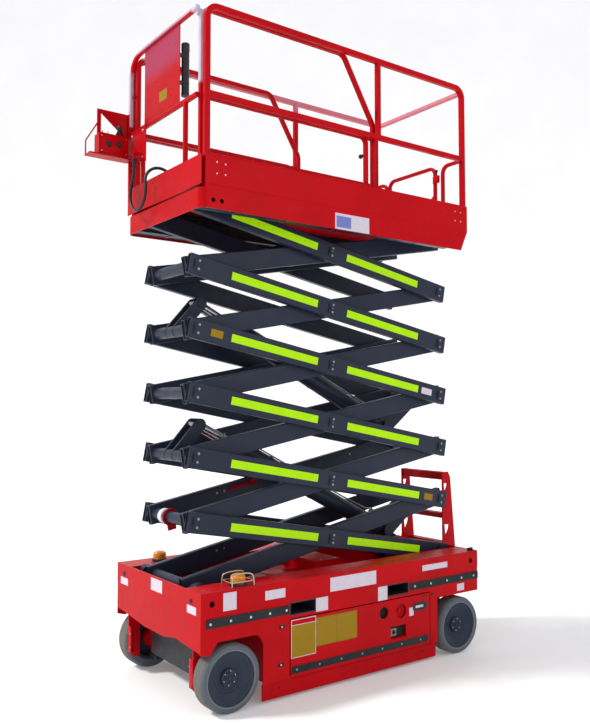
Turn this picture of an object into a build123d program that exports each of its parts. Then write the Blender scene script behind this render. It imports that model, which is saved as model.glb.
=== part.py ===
from build123d import *
import os
from math import sin, cos, tan, radians, degrees, sqrt, atan2, hypot

# Self-propelled electric scissor lift, standing on its wheels with the stack part raised.
# Millimetres. +Z up, +X towards the ladder (rear) end, the near (left) side is -Y.
# Built about the chassis centre, then moved along X by X_SHIFT so that the origin is
# under the middle of the whole machine, on the ground.

# ---------------------------------------------------------------- driving sizes
X_SHIFT = 73.5           # chassis centre to the middle of the whole machine

# wheels
TYRE_R, TYRE_W = 203.0, 127.0
WHEEL_Y = 526.5          # middle plane of every wheel
FRONT_X, REAR_X = -975.0, 980.0
KING_Y = 440.0           # steering axis

# chassis
CH_X = 1187.5            # half length over the end panels
CH_Y = 584.0             # outer face of the side plates
CH_TOP = 726.0
LIP = 3.0                # the upper side band stands proud by this much
SEAM_Z = 603.0           # its lower edge
ARCH_Z = 432.0           # underside of the plates over the wheels
BAND_Z = 487.0           # lower edge of the side band between the wheels
SKIRT_X0, SKIRT_X1 = -750.0, 757.0   # fixed side panels and guards between the wheels
BOX_X0, BOX_X1 = -722.0, 729.0   # end walls of the side box, clear of the steered tyres
BOX_Z0 = 120.0
DOOR_X0, DOOR_X1 = -545.0, 680.0
DOOR_Z0, DOOR_Z1 = 122.0, 480.0
TRAY_Z = 207.0           # underside of the tray floor
TIE_X, TIE_Z = 1112.0, 658.0         # tie-down holes
WELL_Y = 385.0           # half width of the well that holds the stack
WELL_Z = 456.0           # top of its floor
PL = 10.0                # plate thickness
POCKETS = [(-542.0, -353.0), (279.0, 467.0)]   # fork pockets: x from, x to
POCKET_Z = (513.0, 579.0)
STRIPS = [(-1150.0, -556.0), (487.0, 1187.0)]  # rubber strips: x from, x to
STRIP_Z = (520.0, 573.0)
POCKET_T = 8.0

# scissor stack
LEVELS = 6
ARM_L = 2187.0           # pin to pin
THETA = 10.6             # arm angle as it stands
Z0 = 691.0               # lowest pins
ARM_H, ARM_T = 130.0, 50.0
ARM_WALL = 8.0
ARM_END0, ARM_END1 = 49.0, 68.0   # arm beyond its rolling end pin and its fixed end pin
OUT_Y0, OUT_Y1 = 267.0, 317.0
INN_Y0, INN_Y1 = 211.0, 261.0
PIN_R = 25.0
FIT = 0.06               # radial clearance of a running fit
OPEN_FIT = 1.0           # radial clearance at the pivots that the tree leaves open
SLEEVE_R = 38.0
ROLLER_R = 45.0
TRACK_Y0, TRACK_Y1 = 331.0, 385.0

RISE = ARM_L * sin(radians(THETA))
RUN = ARM_L * cos(radians(THETA))
PIN_X1 = RUN / 2         # fixed end, under the ladder end
PIN_X0 = -RUN / 2        # rolling end
Z_TOP = Z0 + LEVELS * RISE

# lift cylinders: each from the arm pair of level n to the arm pair of level n+2
CYL_LOW = (729.0, -179.0)    # foot pin, along and across the arm from its middle
CYL_UP = (-886.0, 159.0)     # head pin on the upper arm pair
CYLINDERS = [("lower", 1, 3), ("upper", 3, 5)]
BARREL_R, ROD_R = 62.0, 35.0

# platform
PF_X0, PF_X1 = -1167.0, 1185.0
PF_Y = 525.0
PF_Z0 = 3016.0           # lower edge of the side panels
BAND_TOP = 3142.0        # top of the front band, under the extension's front panel
TOE_Z = 3356.0           # upper edge of the toe boards
FLOOR_Z = 3204.0
RAIL_Z = 4305.0          # top of the guard rail
MID_Z = 3750.0           # top of the middle rail
TUBE = 38.0
POST_X = -1120.0         # front posts of the fixed rails
GT = 28.0                # tube of the entry gate
EXT_X0 = -1170.0         # front face of the extension
EXT_X1 = 300.0
EXT_TOE = 3340.0
EXT_Y = 474.0            # outer face of the extension's side boards
EXT_TUBE = 32.0
EXT_POST_X = -1130.0     # posts of the extension's side rails
EXT_END_X = -1159.0      # middle plane of its end frame
EXT_TRAVEL = 900.0


# ---------------------------------------------------------------- helpers
def box(x0, x1, y0, y1, z0, z1):
    return Pos((x0 + x1) / 2, (y0 + y1) / 2, (z0 + z1) / 2) * Box(abs(x1 - x0), abs(y1 - y0), abs(z1 - z0))


def cyl_y(x, y0, y1, z, r):
    return Pos(x, (y0 + y1) / 2, z) * Rot(90, 0, 0) * Cylinder(r, abs(y1 - y0))


def cyl_x(x0, x1, y, z, r):
    return Pos((x0 + x1) / 2, y, z) * Rot(0, 90, 0) * Cylinder(r, abs(x1 - x0))


def cyl_z(x, y, z0, z1, r):
    return Pos(x, y, (z0 + z1) / 2) * Cylinder(r, abs(z1 - z0))


def plate_xz(points, y0, y1):
    # flat plate whose outline is a list of (x, z)
    face = make_face(Polyline([(x, y0, z) for x, z in points] + [(points[0][0], y0, points[0][1])]))
    return extrude(face, amount=abs(y1 - y0), dir=(0, 1 if y1 > y0 else -1, 0))


def plate_yz(points, x0, x1):
    face = make_face(Polyline([(x0, y, z) for y, z in points] + [(x0, points[0][0], points[0][1])]))
    return extrude(face, amount=abs(x1 - x0), dir=(1 if x1 > x0 else -1, 0, 0))


def fuse(parts):
    # joined one after another
    out = parts[0]
    for p in parts[1:]:
        out = out + p
    return out


def mirror_y(shape):
    return mirror(shape, about=Plane.XZ)


def rail(points, radius, size=TUBE, corner=7.0):
    # square tube with rounded corners bent along points
    pts = [Vector(*p) for p in points]
    if len(pts) == 2:
        path = Line(pts[0], pts[1])
    else:
        path = FilletPolyline(*pts, radius=radius)
    d = (pts[1] - pts[0]).normalized()
    ref = Vector(0, 1, 0) if abs(d.Y) < 0.9 else Vector(1, 0, 0)
    pl = Plane(origin=pts[0], x_dir=ref.cross(d).normalized(), z_dir=d)
    return sweep(pl * RectangleRounded(size, size, corner), path=path)


def bar(p, q, r):
    p, q = Vector(*p), Vector(*q)
    d = q - p
    return Plane(origin=p, z_dir=d.normalized()) * Pos(0, 0, d.length / 2) * Cylinder(r, d.length)


NODES = {}


def put(name, solids):
    if not isinstance(solids, (list, tuple)):
        solids = [solids]
    flat = []
    for s in solids:
        flat += list(s.solids())
    NODES[name] = Compound(children=[Pos(X_SHIFT, 0, 0) * s for s in flat]) if len(flat) > 1 else Pos(X_SHIFT, 0, 0) * flat[0]


# ---------------------------------------------------------------- wheels
def tyre(x, side):
    y = side * WHEEL_Y
    h = TYRE_W / 2
    c = 22.0
    prof = [(140, -h + 12), (150, -h), (TYRE_R - c, -h), (TYRE_R, -h + c), (TYRE_R, h - c), (TYRE_R - c, h), (150, h), (140, h - 12)]
    face = make_face(Polyline([(r, a, 0) for r, a in prof] + [(prof[0][0], prof[0][1], 0)]))
    body = revolve(face, axis=Axis.Y)
    return Pos(x, y, TYRE_R) * body


def rim(x, side, driven):
    # barrel with a dished disc near its outer face and a hub
    h = TYRE_W / 2
    # (radius, distance outboard of the middle plane)
    prof = [(0, 6), (0, 38), (46, 38), (52, 22), (96, 22), (122, h - 14), (122, h - 4), (140, h - 4),
            (140, -h + 6), (128, -h + 6), (128, 20), (110, 6)]
    face = make_face(Polyline([(r, a * side, 0) for r, a in prof] + [(prof[0][0], prof[0][1] * side, 0)]))
    body = revolve(face, axis=Axis.Y)
    body = body - cyl_y(0, side * 0, side * 30, 0, 20 + FIT)
    return Pos(x, side * WHEEL_Y, TYRE_R) * body


for end, wx in (("front", FRONT_X), ("rear", REAR_X)):
    for nm, side in (("left", -1), ("right", 1)):
        put(f"tyre_{end}_{nm}", tyre(wx, side))
        put(f"rim_{end}_{nm}", rim(wx, side, end == "front"))

# ---------------------------------------------------------------- axles and steering
AX_Z = TYRE_R
YOKE_Z0, YOKE_Z1 = AX_Z - 112, AX_Z + 112


def yoke(side):
    y0, y1 = side * 330.0, side * (KING_Y + 24)
    parts = []
    for za, zb in ((YOKE_Z0, YOKE_Z0 + 20), (YOKE_Z1 - 20, YOKE_Z1)):
        ear = box(FRONT_X - 38, FRONT_X + 38, y0, side * KING_Y, za, zb).fuse(cyl_z(FRONT_X, side * KING_Y, za, zb, 24))
        ear = ear - cyl_z(FRONT_X, side * KING_Y, za - 1, zb + 1, 14 + FIT)
        parts.append(ear)
    parts.append(box(FRONT_X - 38, FRONT_X + 38, y0, side * 350, YOKE_Z0, YOKE_Z1))
    return fuse(parts)


front_beam = box(FRONT_X - 45, FRONT_X + 45, -335, 335, AX_Z - 50, AX_Z + 50)
front_hang = [box(FRONT_X - 70, FRONT_X - 50 + 5, -330, 330, AX_Z - 60, 444), box(FRONT_X + 45, FRONT_X + 65, -330, 330, AX_Z - 60, 444)]
put("front_axle", fuse([front_beam, yoke(-1), yoke(1)] + front_hang))

rear_beam = box(REAR_X - 50, REAR_X + 50, -440, 440, AX_Z - 50, AX_Z + 50)
rear_hang = [box(REAR_X - 70, REAR_X - 50, -330, 330, AX_Z - 60, 444), box(REAR_X + 50, REAR_X + 70, -330, 330, AX_Z - 60, 444)]
rear_spin = [cyl_y(REAR_X, s * 430, s * (WHEEL_Y + 24), AX_Z, 20) for s in (-1, 1)]
rear_cap = [cyl_y(REAR_X, s * 440, s * 500, AX_Z, 70) for s in (-1, 1)]
put("rear_axle", fuse([rear_beam] + rear_hang + rear_spin + rear_cap))

ARM_PIN = (FRONT_X + 118.0, KING_Y)     # tie-rod pin of each steering arm, x and |y|
for nm, side in (("left", -1), ("right", 1)):
    ky = side * KING_Y
    post = cyl_z(FRONT_X, ky, YOKE_Z0 + 20.5, YOKE_Z1 - 20.5, 24)
    pins = cyl_z(FRONT_X, ky, YOKE_Z0 - 6, YOKE_Z1 + 6, 14)
    hub = cyl_y(FRONT_X, side * (KING_Y + 10), side * (WHEEL_Y - 8), AX_Z, 60)
    spin = cyl_y(FRONT_X, side * KING_Y, side * (WHEEL_Y + 24), AX_Z, 20)
    a = box(FRONT_X, ARM_PIN[0], side * (ARM_PIN[1] - 12), side * (ARM_PIN[1] + 12), AX_Z - 78, AX_Z - 66)
    a = a.fuse(cyl_z(ARM_PIN[0], side * ARM_PIN[1], AX_Z - 78, AX_Z - 66, 17))
    a = a - cyl_z(ARM_PIN[0], side * ARM_PIN[1], AX_Z - 80, AX_Z - 60, 9 + (FIT if side < 0 else OPEN_FIT))
    put(f"steering_knuckle_{nm}", fuse([post, pins, hub, spin, a]))

rod = cyl_y(ARM_PIN[0], -ARM_PIN[1], ARM_PIN[1], AX_Z - 96, 11)
rod = fuse([rod] + [cyl_z(ARM_PIN[0], s * ARM_PIN[1], AX_Z - 110, AX_Z - 80, 16) for s in (-1, 1)]
           + [cyl_z(ARM_PIN[0], s * ARM_PIN[1], AX_Z - 85, AX_Z - 65, 9) for s in (-1, 1)])
put("tie_rod", rod)

# ---------------------------------------------------------------- chassis
def side_frame(side):
    def b(x0, x1, ya, yb, z0, z1):
        return box(x0, x1, side * ya, side * yb, z0, z1)
    parts = [
        b(-CH_X, CH_X, CH_Y - PL, CH_Y, BAND_Z, SEAM_Z + 10),                 # side band
        b(-CH_X, CH_X, CH_Y - PL + LIP, CH_Y + LIP, SEAM_Z, CH_TOP),          # its upper part, proud
        b(-CH_X, SKIRT_X0, CH_Y - PL, CH_Y, ARCH_Z, BAND_Z + 5),
        b(SKIRT_X1, CH_X, CH_Y - PL, CH_Y, ARCH_Z, BAND_Z + 5),
        b(-CH_X + PL, CH_X - PL, WELL_Y + PL, CH_Y, CH_TOP - PL, CH_TOP),     # top plate
        b(BOX_X0, BOX_X1, WELL_Y + PL, CH_Y, BAND_Z, BAND_Z + PL),            # shelf over the tray
        b(-CH_X + PL, BOX_X0 + PL, WELL_Y + PL, CH_Y, ARCH_Z, ARCH_Z + PL),   # arch roofs
        b(BOX_X1 - PL, CH_X - PL, WELL_Y + PL, CH_Y, ARCH_Z, ARCH_Z + PL),
        b(SKIRT_X0, DOOR_X0 - 8, CH_Y - PL, CH_Y, BOX_Z0, BAND_Z + PL),       # fixed side panels
        b(DOOR_X1 + 5, SKIRT_X1, CH_Y - PL, CH_Y, BOX_Z0, BAND_Z + PL),
        b(BOX_X0, BOX_X1, WELL_Y + PL, CH_Y - 37, BOX_Z0, BOX_Z0 + PL),       # bottom, inside the guards
    ]
    for x in (BOX_X0, BOX_X1 - PL):                                          # arch end walls
        parts.append(b(x, x + PL, WELL_Y + PL, CH_Y, TRAY_Z, BAND_Z + PL))
        parts.append(b(x, x + PL, WELL_Y + PL, CH_Y - 37, BOX_Z0, TRAY_Z + 5))
    # the side plate reaches down ahead of the steered wheel, and its arch is rounded behind it
    parts.append(plate_xz([(-CH_X, 442), (-CH_X, 376), (-1128, 360), (-1070, 433), (-1070, 442)], side * (CH_Y - PL), side * CH_Y))
    parts.append(plate_xz([(SKIRT_X0 + 1, 442), (-824, 442), (-818, 433), (-790, 426), (-768, 405), (SKIRT_X0 + 1, 366)], side * (CH_Y - PL), side * CH_Y))
    s = fuse(parts)
    for xa, xb in POCKETS:
        s = s - b(xa - POCKET_T, xb + POCKET_T, 300, 700, POCKET_Z[0] - POCKET_T, POCKET_Z[1] + POCKET_T)
    for hx in (-TIE_X, TIE_X):
        s = s - cyl_y(hx, side * 560, side * 600, TIE_Z, 18)
    return s


put("chassis_side_left", side_frame(-1))
put("chassis_side_right", side_frame(1))

well = [box(-CH_X + PL, CH_X - PL, -WELL_Y - PL, WELL_Y + PL, WELL_Z - 12, WELL_Z)]
for side in (-1, 1):
    well.append(box(-CH_X + PL, CH_X - PL, side * WELL_Y, side * (WELL_Y + PL), WELL_Z - 12, CH_TOP))
    well.append(box(BOX_X0, BOX_X1, side * WELL_Y, side * (WELL_Y + PL), BOX_Z0, WELL_Z))
for cx in (BOX_X0, BOX_X1 - PL):
    well.append(box(cx, cx + PL, -WELL_Y, WELL_Y, 200, WELL_Z - 12))
well = fuse(well)
for xa, xb in POCKETS:
    well = well - box(xa - POCKET_T, xb + POCKET_T, -700, 700, POCKET_Z[0] - POCKET_T, POCKET_Z[1] + POCKET_T)
put("chassis_well", well)

# hollow cover between the arms
# low in front, where the arms' cross tube runs over it with the platform up, and high behind
cover = [(-560, WELL_Z), (-560, 640), (-50, 640), (-50, 722), (180, 722), (300, 655), (300, WELL_Z)]
cover_in = [(-554, WELL_Z - 1), (-554, 634), (-44, 634), (-44, 716), (178, 716), (294, 651), (294, WELL_Z - 1)]
cover = plate_xz(cover, -190, 190) - plate_xz(cover_in, -184, 184)
for xa, xb in POCKETS:
    cover = cover - box(xa - POCKET_T - 1, xb + POCKET_T + 1, -200, 200, POCKET_Z[0] - POCKET_T - 1, POCKET_Z[1] + POCKET_T + 1)
put("well_cover", cover)

pockets = []
for xa, xb in POCKETS:
    t = box(xa - POCKET_T, xb + POCKET_T, -CH_Y, CH_Y, POCKET_Z[0] - POCKET_T, POCKET_Z[1] + POCKET_T)
    pockets.append(t - box(xa, xb, -CH_Y - 1, CH_Y + 1, POCKET_Z[0], POCKET_Z[1]))
put("fork_pockets", pockets)

PAN_Y = CH_Y - PL
apron = [(-PAN_Y, 382), (-270, 406), (-120, 380), (150, 380), (330, 398), (PAN_Y, 420), (PAN_Y, SEAM_Z + 10),
         (PAN_Y + LIP, SEAM_Z + 10), (PAN_Y + LIP, CH_TOP), (-PAN_Y - LIP, CH_TOP), (-PAN_Y - LIP, SEAM_Z + 10), (-PAN_Y, SEAM_Z + 10)]
put("chassis_front_panel", plate_yz(apron, -CH_X, -CH_X + PL))
put("chassis_rear_panel", plate_yz([(-PAN_Y, ARCH_Z), (PAN_Y, ARCH_Z)] + apron[6:], CH_X - PL, CH_X))

# roller tracks and the fixed pin brackets
tracks = []
for side in (-1, 1):
    t = box(-1170, -30, side * TRACK_Y0, side * TRACK_Y1, Z0 - ROLLER_R - 14, Z0 - ROLLER_R - 2)
    tracks.append(t)

brk = []
for side in (-1, 1):
    for ya, yb in ((246, 261), (323, 338)):
        ear = plate_xz([(PIN_X1 - 60, WELL_Z), (PIN_X1 - 45, Z0 + 10), (PIN_X1 - 20, Z0 + 50), (PIN_X1 + 20, Z0 + 50), (PIN_X1 + 45, Z0 + 10), (PIN_X1 + 60, WELL_Z)], side * ya, side * yb)
        brk.append(ear)
    brk.append(cyl_y(PIN_X1, side * 240, side * 344, Z0, PIN_R))
    brk.append(box(PIN_X1 - 60, PIN_X1 + 60, side * 246, side * 338, WELL_Z, WELL_Z + 12))
put("stack_base_mounts", tracks + [fuse(brk[:4]), fuse(brk[4:])])

# ---------------------------------------------------------------- scissor stack
def arm_frame(n, up):
    # middle of level n, +x along the arm. up: the inner pair, rising towards +X
    a = THETA if up else -THETA
    return Pos(0, 0, Z0 + (n - 0.5) * RISE) * Rot(0, -a, 0)


def raw_arm(y0, y1):
    x0, x1 = -ARM_L / 2 - ARM_END0, ARM_L / 2 + ARM_END1
    t = box(x0, x1, y0, y1, -ARM_H / 2, ARM_H / 2)
    t = fillet(t.edges().filter_by(Axis.X), 8)
    return t - box(x0 - 1, x1 + 1, y0 + ARM_WALL, y1 - ARM_WALL, -ARM_H / 2 + ARM_WALL, ARM_H / 2 - ARM_WALL)


def outer_pair(n):
    out = []
    for side in (-1, 1):
        arm = raw_arm(OUT_Y0, OUT_Y1)
        parts = [arm]
        for x in (-ARM_L / 2, 0, ARM_L / 2):
            parts.append(cyl_y(x, OUT_Y0, OUT_Y1, 0, SLEEVE_R))
        arm = fuse(parts)
        pins = []
        for x in (-ARM_L / 2, 0):
            pins.append(cyl_y(x, INN_Y0 - 5, OUT_Y1 - 2, 0, PIN_R))
            pins.append(box(x - 22, x + 22, OUT_Y1 - 1, OUT_Y1 + 7, -32, 32))
        if n > 1:
            x = ARM_L / 2
            pins.append(cyl_y(x, INN_Y0 - 5, OUT_Y1 - 2, 0, PIN_R))
            pins.append(box(x - 22, x + 22, OUT_Y1 - 1, OUT_Y1 + 7, -32, 32))
        if n == LEVELS:
            pins.append(cyl_y(-ARM_L / 2, OUT_Y1 - 2, TRACK_Y1 - 8, 0, PIN_R))
            pins.append(cyl_y(-ARM_L / 2, TRACK_Y0 - 4, TRACK_Y1 - 6, 0, ROLLER_R))
        arm = fuse([arm] + pins)
        if n == 1:
            arm = arm - cyl_y(ARM_L / 2, OUT_Y0 - 10, OUT_Y1 + 10, 0, PIN_R + FIT)
        if side < 0:
            arm = mirror_y(arm)
        out.append(arm_frame(n, False) * arm)
    return out


def inner_pair(n):
    x2 = ARM_L / 2
    parts = []
    for side in (-1, 1):
        arm = raw_arm(INN_Y0, INN_Y1)
        arm = fuse([arm] + [cyl_y(x, INN_Y0, INN_Y1, 0, SLEEVE_R) for x in (-x2, 0, x2)])
        parts.append(mirror_y(arm) if side < 0 else arm)
    for x in (-x2, x2):
        parts.append(cyl_y(x, -INN_Y0, INN_Y0, 0, SLEEVE_R))
    if n >= 5:
        parts.append(cyl_y(0, -INN_Y0, INN_Y0, 0, SLEEVE_R))
    body = fuse(parts)
    if n == LEVELS:
        body = body - box(x2 + 56, x2 + 90, -300, 300, -80, 80)      # clear of the floor when it turns
    for side in (-1, 1):
        if n > 1:
            body = body - cyl_y(-x2, side * (INN_Y0 - 12), side * (INN_Y1 + 8), 0, PIN_R + OPEN_FIT)
        else:
            body = fuse([body, cyl_y(-x2, side * (INN_Y1 - 8), side * (TRACK_Y1 - 8), 0, PIN_R),
                         cyl_y(-x2, side * (TRACK_Y0 - 4), side * (TRACK_Y1 - 6), 0, ROLLER_R)])
        body = body - cyl_y(0, side * (INN_Y0 - 12), side * (INN_Y1 + 8), 0, PIN_R + FIT)
        body = body - cyl_y(x2, side * (INN_Y0 - 12), side * (INN_Y1 + 8), 0, PIN_R + FIT)
    # cylinder brackets
    extra = []
    if n in (1, 3):
        fx, fz = CYL_LOW
        for side in (-1, 1):
            ear = hull_plate((x2, 0), 40, (fx, fz), 45, side * 72, side * 90)
            ear = ear - cyl_y(x2, side * 60, side * 100, 0, SLEEVE_R - 4)
            extra.append(ear)
        extra.append(cyl_y(fx, -88, 88, fz, PIN_R))
        extra = [fuse(extra)]
    if n in (3, 5):
        ux, uz = CYL_UP
        for side in (-1, 1):
            ear = hull_plate((-x2, 0), 40, (ux, uz), 42, side * 45, side * 60)
            ear = ear - cyl_y(-x2, side * 30, side * 80, 0, SLEEVE_R - 4)
            ear = fuse([ear, cyl_y(ux, side * 58, side * 66, uz, 26)])
            extra.append(ear)
    if extra:
        body = fuse([body] + extra)
    return arm_frame(n, True) * body


def hull_plate(c0, r0, c1, r1, y0, y1):
    # flat plate around two round ends
    dx, dz = c1[0] - c0[0], c1[1] - c0[1]
    d = hypot(dx, dz)
    ux, uz = dx / d, dz / d
    vx, vz = -uz, ux
    s = (r0 - r1) / d
    c = sqrt(1 - s * s)
    def tp(cc, r, sg):
        return (cc[0] + r * (s * ux + sg * c * vx), cc[1] + r * (s * uz + sg * c * vz))
    quad = [tp(c0, r0, 1), tp(c1, r1, 1), tp(c1, r1, -1), tp(c0, r0, -1)]
    return fuse([plate_xz(quad, y0, y1), cyl_y(c0[0], y0, y1, c0[1], r0), cyl_y(c1[0], y0, y1, c1[1], r1)])


for n in range(1, LEVELS + 1):
    put(f"outer_arms_{n}", outer_pair(n))
    put(f"inner_arms_{n}", inner_pair(n))

# ---------------------------------------------------------------- lift cylinders
def in_arm(n, p):
    c, s = cos(radians(THETA)), sin(radians(THETA))
    return (p[0] * c - p[1] * s, Z0 + (n - 0.5) * RISE + p[0] * s + p[1] * c)


for nm, lo, hi in CYLINDERS:
    p, q = in_arm(lo, CYL_LOW), in_arm(hi, CYL_UP)
    ang = degrees(atan2(q[1] - p[1], q[0] - p[0]))
    length = hypot(q[0] - p[0], q[1] - p[1])
    fr = Pos(p[0], 0, p[1]) * Rot(0, -ang, 0)        # +x from foot to head
    barrel_end = 1440.0
    b = fuse([cyl_x(40, barrel_end, 0, 0, BARREL_R), cyl_y(0, -65, 65, 0, 44), box(0, 60, -40, 40, -38, 38),
              cyl_x(barrel_end - 60, barrel_end, 0, 0, BARREL_R + 6)])
    b = b - cyl_y(0, -80, 80, 0, PIN_R + FIT) - cyl_x(140, barrel_end + 5, 0, 0, ROD_R + FIT)
    put(f"lift_cylinder_{nm}_barrel", fr * b)
    r = fuse([cyl_x(300, length - 30, 0, 0, ROD_R), cyl_y(length, -34, 34, 0, 42)])
    put(f"lift_cylinder_{nm}_rod", fr * r)
    print("cylinder", nm, "foot", [round(p[0] + X_SHIFT, 2), round(p[1], 2)], "head", [round(q[0] + X_SHIFT, 2), round(q[1], 2)],
          "axis", round(cos(radians(ang)), 6), round(sin(radians(ang)), 6), "length", round(length, 1))

# ---------------------------------------------------------------- platform
h = TUBE / 2
REAR_POST_X = PF_X1 - h - 4
RAIL_Y = PF_Y - 6 - h
FR = POST_X + h + 1          # behind the front posts

deck = [box(FR, PF_X1 - 4, -PF_Y + 4, PF_Y - 4, FLOOR_Z - 10, FLOOR_Z)]
for side in (-1, 1):
    deck.append(plate_xz([(POST_X, PF_Z0), (PF_X1 - 72, PF_Z0 - 8), (PF_X1, PF_Z0 + 142), (PF_X1, TOE_Z), (POST_X - h, TOE_Z), (POST_X - h, BAND_TOP - 2), (POST_X, BAND_TOP - 2)], side * (PF_Y - 6), side * PF_Y))
# fixed band round the front, its upright corners rounded
out = box(PF_X0, POST_X + 12, -PF_Y, PF_Y, PF_Z0, BAND_TOP)
out = fillet(out.edges().filter_by(Axis.Z).group_by(Axis.X)[0], 48)
inn = box(PF_X0 + 5, POST_X + 20, -PF_Y + 5, PF_Y - 5, PF_Z0 - 1, BAND_TOP + 1)
inn = fillet(inn.edges().filter_by(Axis.Z).group_by(Axis.X)[0], 43)
deck.append(out - inn)
deck.append(box(PF_X1 - 6, PF_X1, -PF_Y, PF_Y, PF_Z0 + 150, FLOOR_Z))
for cx in (FR + 2, -560.0, -20.0, 520.0, 1090.0):
    deck.append(box(cx, cx + 40, -PF_Y + 4, -394, FLOOR_Z - 60, FLOOR_Z - 9))
    deck.append(box(cx, cx + 40, 394, PF_Y - 4, FLOOR_Z - 60, FLOOR_Z - 9))
deck = fuse(deck)
for side in (-1, 1):
    for hx in (-1082.0, -1022.0):
        deck = deck - cyl_y(hx, side * 500, side * 540, 3068, 14)
put("platform_deck", deck)

under = []
for side in (-1, 1):
    c = fuse([box(-1096, 1130, side * TRACK_Y1, side * (TRACK_Y1 + 8), Z_TOP - 56, FLOOR_Z - 10),
              box(-1130, -1090, side * TRACK_Y1, side * (TRACK_Y1 + 8), Z_TOP - 56, FLOOR_Z - 62),
              box(-1130, -20, side * TRACK_Y0, side * (TRACK_Y1 + 1), Z_TOP + ROLLER_R + 2, Z_TOP + ROLLER_R + 10),
              box(-1130, -20, side * TRACK_Y0, side * (TRACK_Y1 + 1), Z_TOP - ROLLER_R - 10, Z_TOP - ROLLER_R - 2)])
    under.append(c)
    ear = plate_xz([(PIN_X1 - 70, FLOOR_Z - 10), (PIN_X1 - 36, Z_TOP - 20), (PIN_X1 - 16, Z_TOP - 44), (PIN_X1 + 16, Z_TOP - 44), (PIN_X1 + 36, Z_TOP - 20), (PIN_X1 + 70, FLOOR_Z - 10)], side * 267, side * 290)
    under.append(fuse([ear, cyl_y(PIN_X1, side * 206, side * 296, Z_TOP, PIN_R)]))
put("platform_underframe", under)


# guard rails of the fixed platform
def side_rails(side):
    y = side * RAIL_Y
    zt, zm = RAIL_Z - h, MID_Z - h
    loop = rail([(POST_X, y, BAND_TOP), (POST_X, y, zt), (REAR_POST_X, y, zt), (REAR_POST_X, y, FLOOR_Z)], 75)
    mid = rail([(POST_X + 3, y, zm), (REAR_POST_X - 3, y, zm)], 0, size=TUBE - 1)
    upper = rail([(285, y, zm + 3), (285, y, zt - 3)], 0, size=TUBE - 2)
    return fuse([loop, mid, upper])


put("guard_rail_left", side_rails(-1))
put("guard_rail_right", side_rails(1))

# entry end: a top cross rail, a bent loop and a short toe panel each side, and a gate between them
GATE_Y0, GATE_Y1 = -214.0, 318.0         # latch leg and hinge leg of the gate, middle lines
HINGE = (REAR_POST_X - 30, 335.0)
LOOPS = [(-1, -297.0), (1, HINGE[1] + 3 + GT / 2)]      # side, y of the loop's inner leg
zl = MID_Z - 28
top_rail = rail([(REAR_POST_X, -RAIL_Y + h + 0.2, RAIL_Z - 46), (REAR_POST_X, RAIL_Y - h - 0.2, RAIL_Z - 46)], 0, size=TUBE - 4)
ends = []
for side, ly in LOOPS:
    ya, yb = sorted((ly - side * 8, side * (RAIL_Y - h - 1)))
    ends.append([rail([(REAR_POST_X, ly, FLOOR_Z), (REAR_POST_X, ly, zl), (REAR_POST_X, side * (RAIL_Y - h - 0.2), zl)], 60, size=GT, corner=8),
                 box(REAR_POST_X + 8, REAR_POST_X + 12, ya, yb, FLOOR_Z, TOE_Z)])
for zc in (3330.0, 3640.0):
    # a tab with an upright pin, on the far loop
    ends[1].append(fuse([box(HINGE[0] - 8, HINGE[0] + 10, HINGE[1] - 8, HINGE[1] + 8, zc - 25, zc - 17),
                         box(HINGE[0] + 9, REAR_POST_X, HINGE[1] + 1, HINGE[1] + 9, zc - 25, zc - 17),
                         cyl_z(HINGE[0], HINGE[1], zc - 21, zc + 14, 6)]))
put("entry_frame", [top_rail, fuse(ends[0]), fuse(ends[1])])

gate = fuse([rail([(REAR_POST_X, GATE_Y1, 3236), (REAR_POST_X, GATE_Y1, MID_Z - 16), (REAR_POST_X, GATE_Y0, MID_Z - 16), (REAR_POST_X, GATE_Y0, 3236)], 60, size=GT, corner=8),
             rail([(REAR_POST_X, GATE_Y1 - 3, 3380), (REAR_POST_X, GATE_Y0 + 3, 3380)], 0, size=GT - 2, corner=8),
             box(REAR_POST_X - 2, REAR_POST_X + 2, GATE_Y0 + 5, GATE_Y1 - 5, 3222, 3375),
             plate_yz([(GATE_Y0 + 5, 3385), (GATE_Y0 + 5, 3520), (GATE_Y0 + 30, 3500), (-20, 3395), (-20, 3385)], REAR_POST_X - 2, REAR_POST_X + 2)])
for zc in (3330.0, 3640.0):
    gate = gate + cyl_z(HINGE[0], HINGE[1], zc - 15, zc + 12, 10).fuse(box(HINGE[0], REAR_POST_X - 8, HINGE[1] - 9, HINGE[1] - 4, zc - 15, zc + 12))
    gate = gate + box(REAR_POST_X - 12, REAR_POST_X - 6, GATE_Y1 + 6, HINGE[1] - 4, zc - 15, zc + 12)
for zc in (3330.0, 3640.0):
    gate = gate - cyl_z(HINGE[0], HINGE[1], zc - 20, zc + 20, 6 + FIT)
put("entry_gate", gate)

# ---------------------------------------------------------------- extension deck
floor_z = FLOOR_Z + 6
CABLE_R = 10.0
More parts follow.
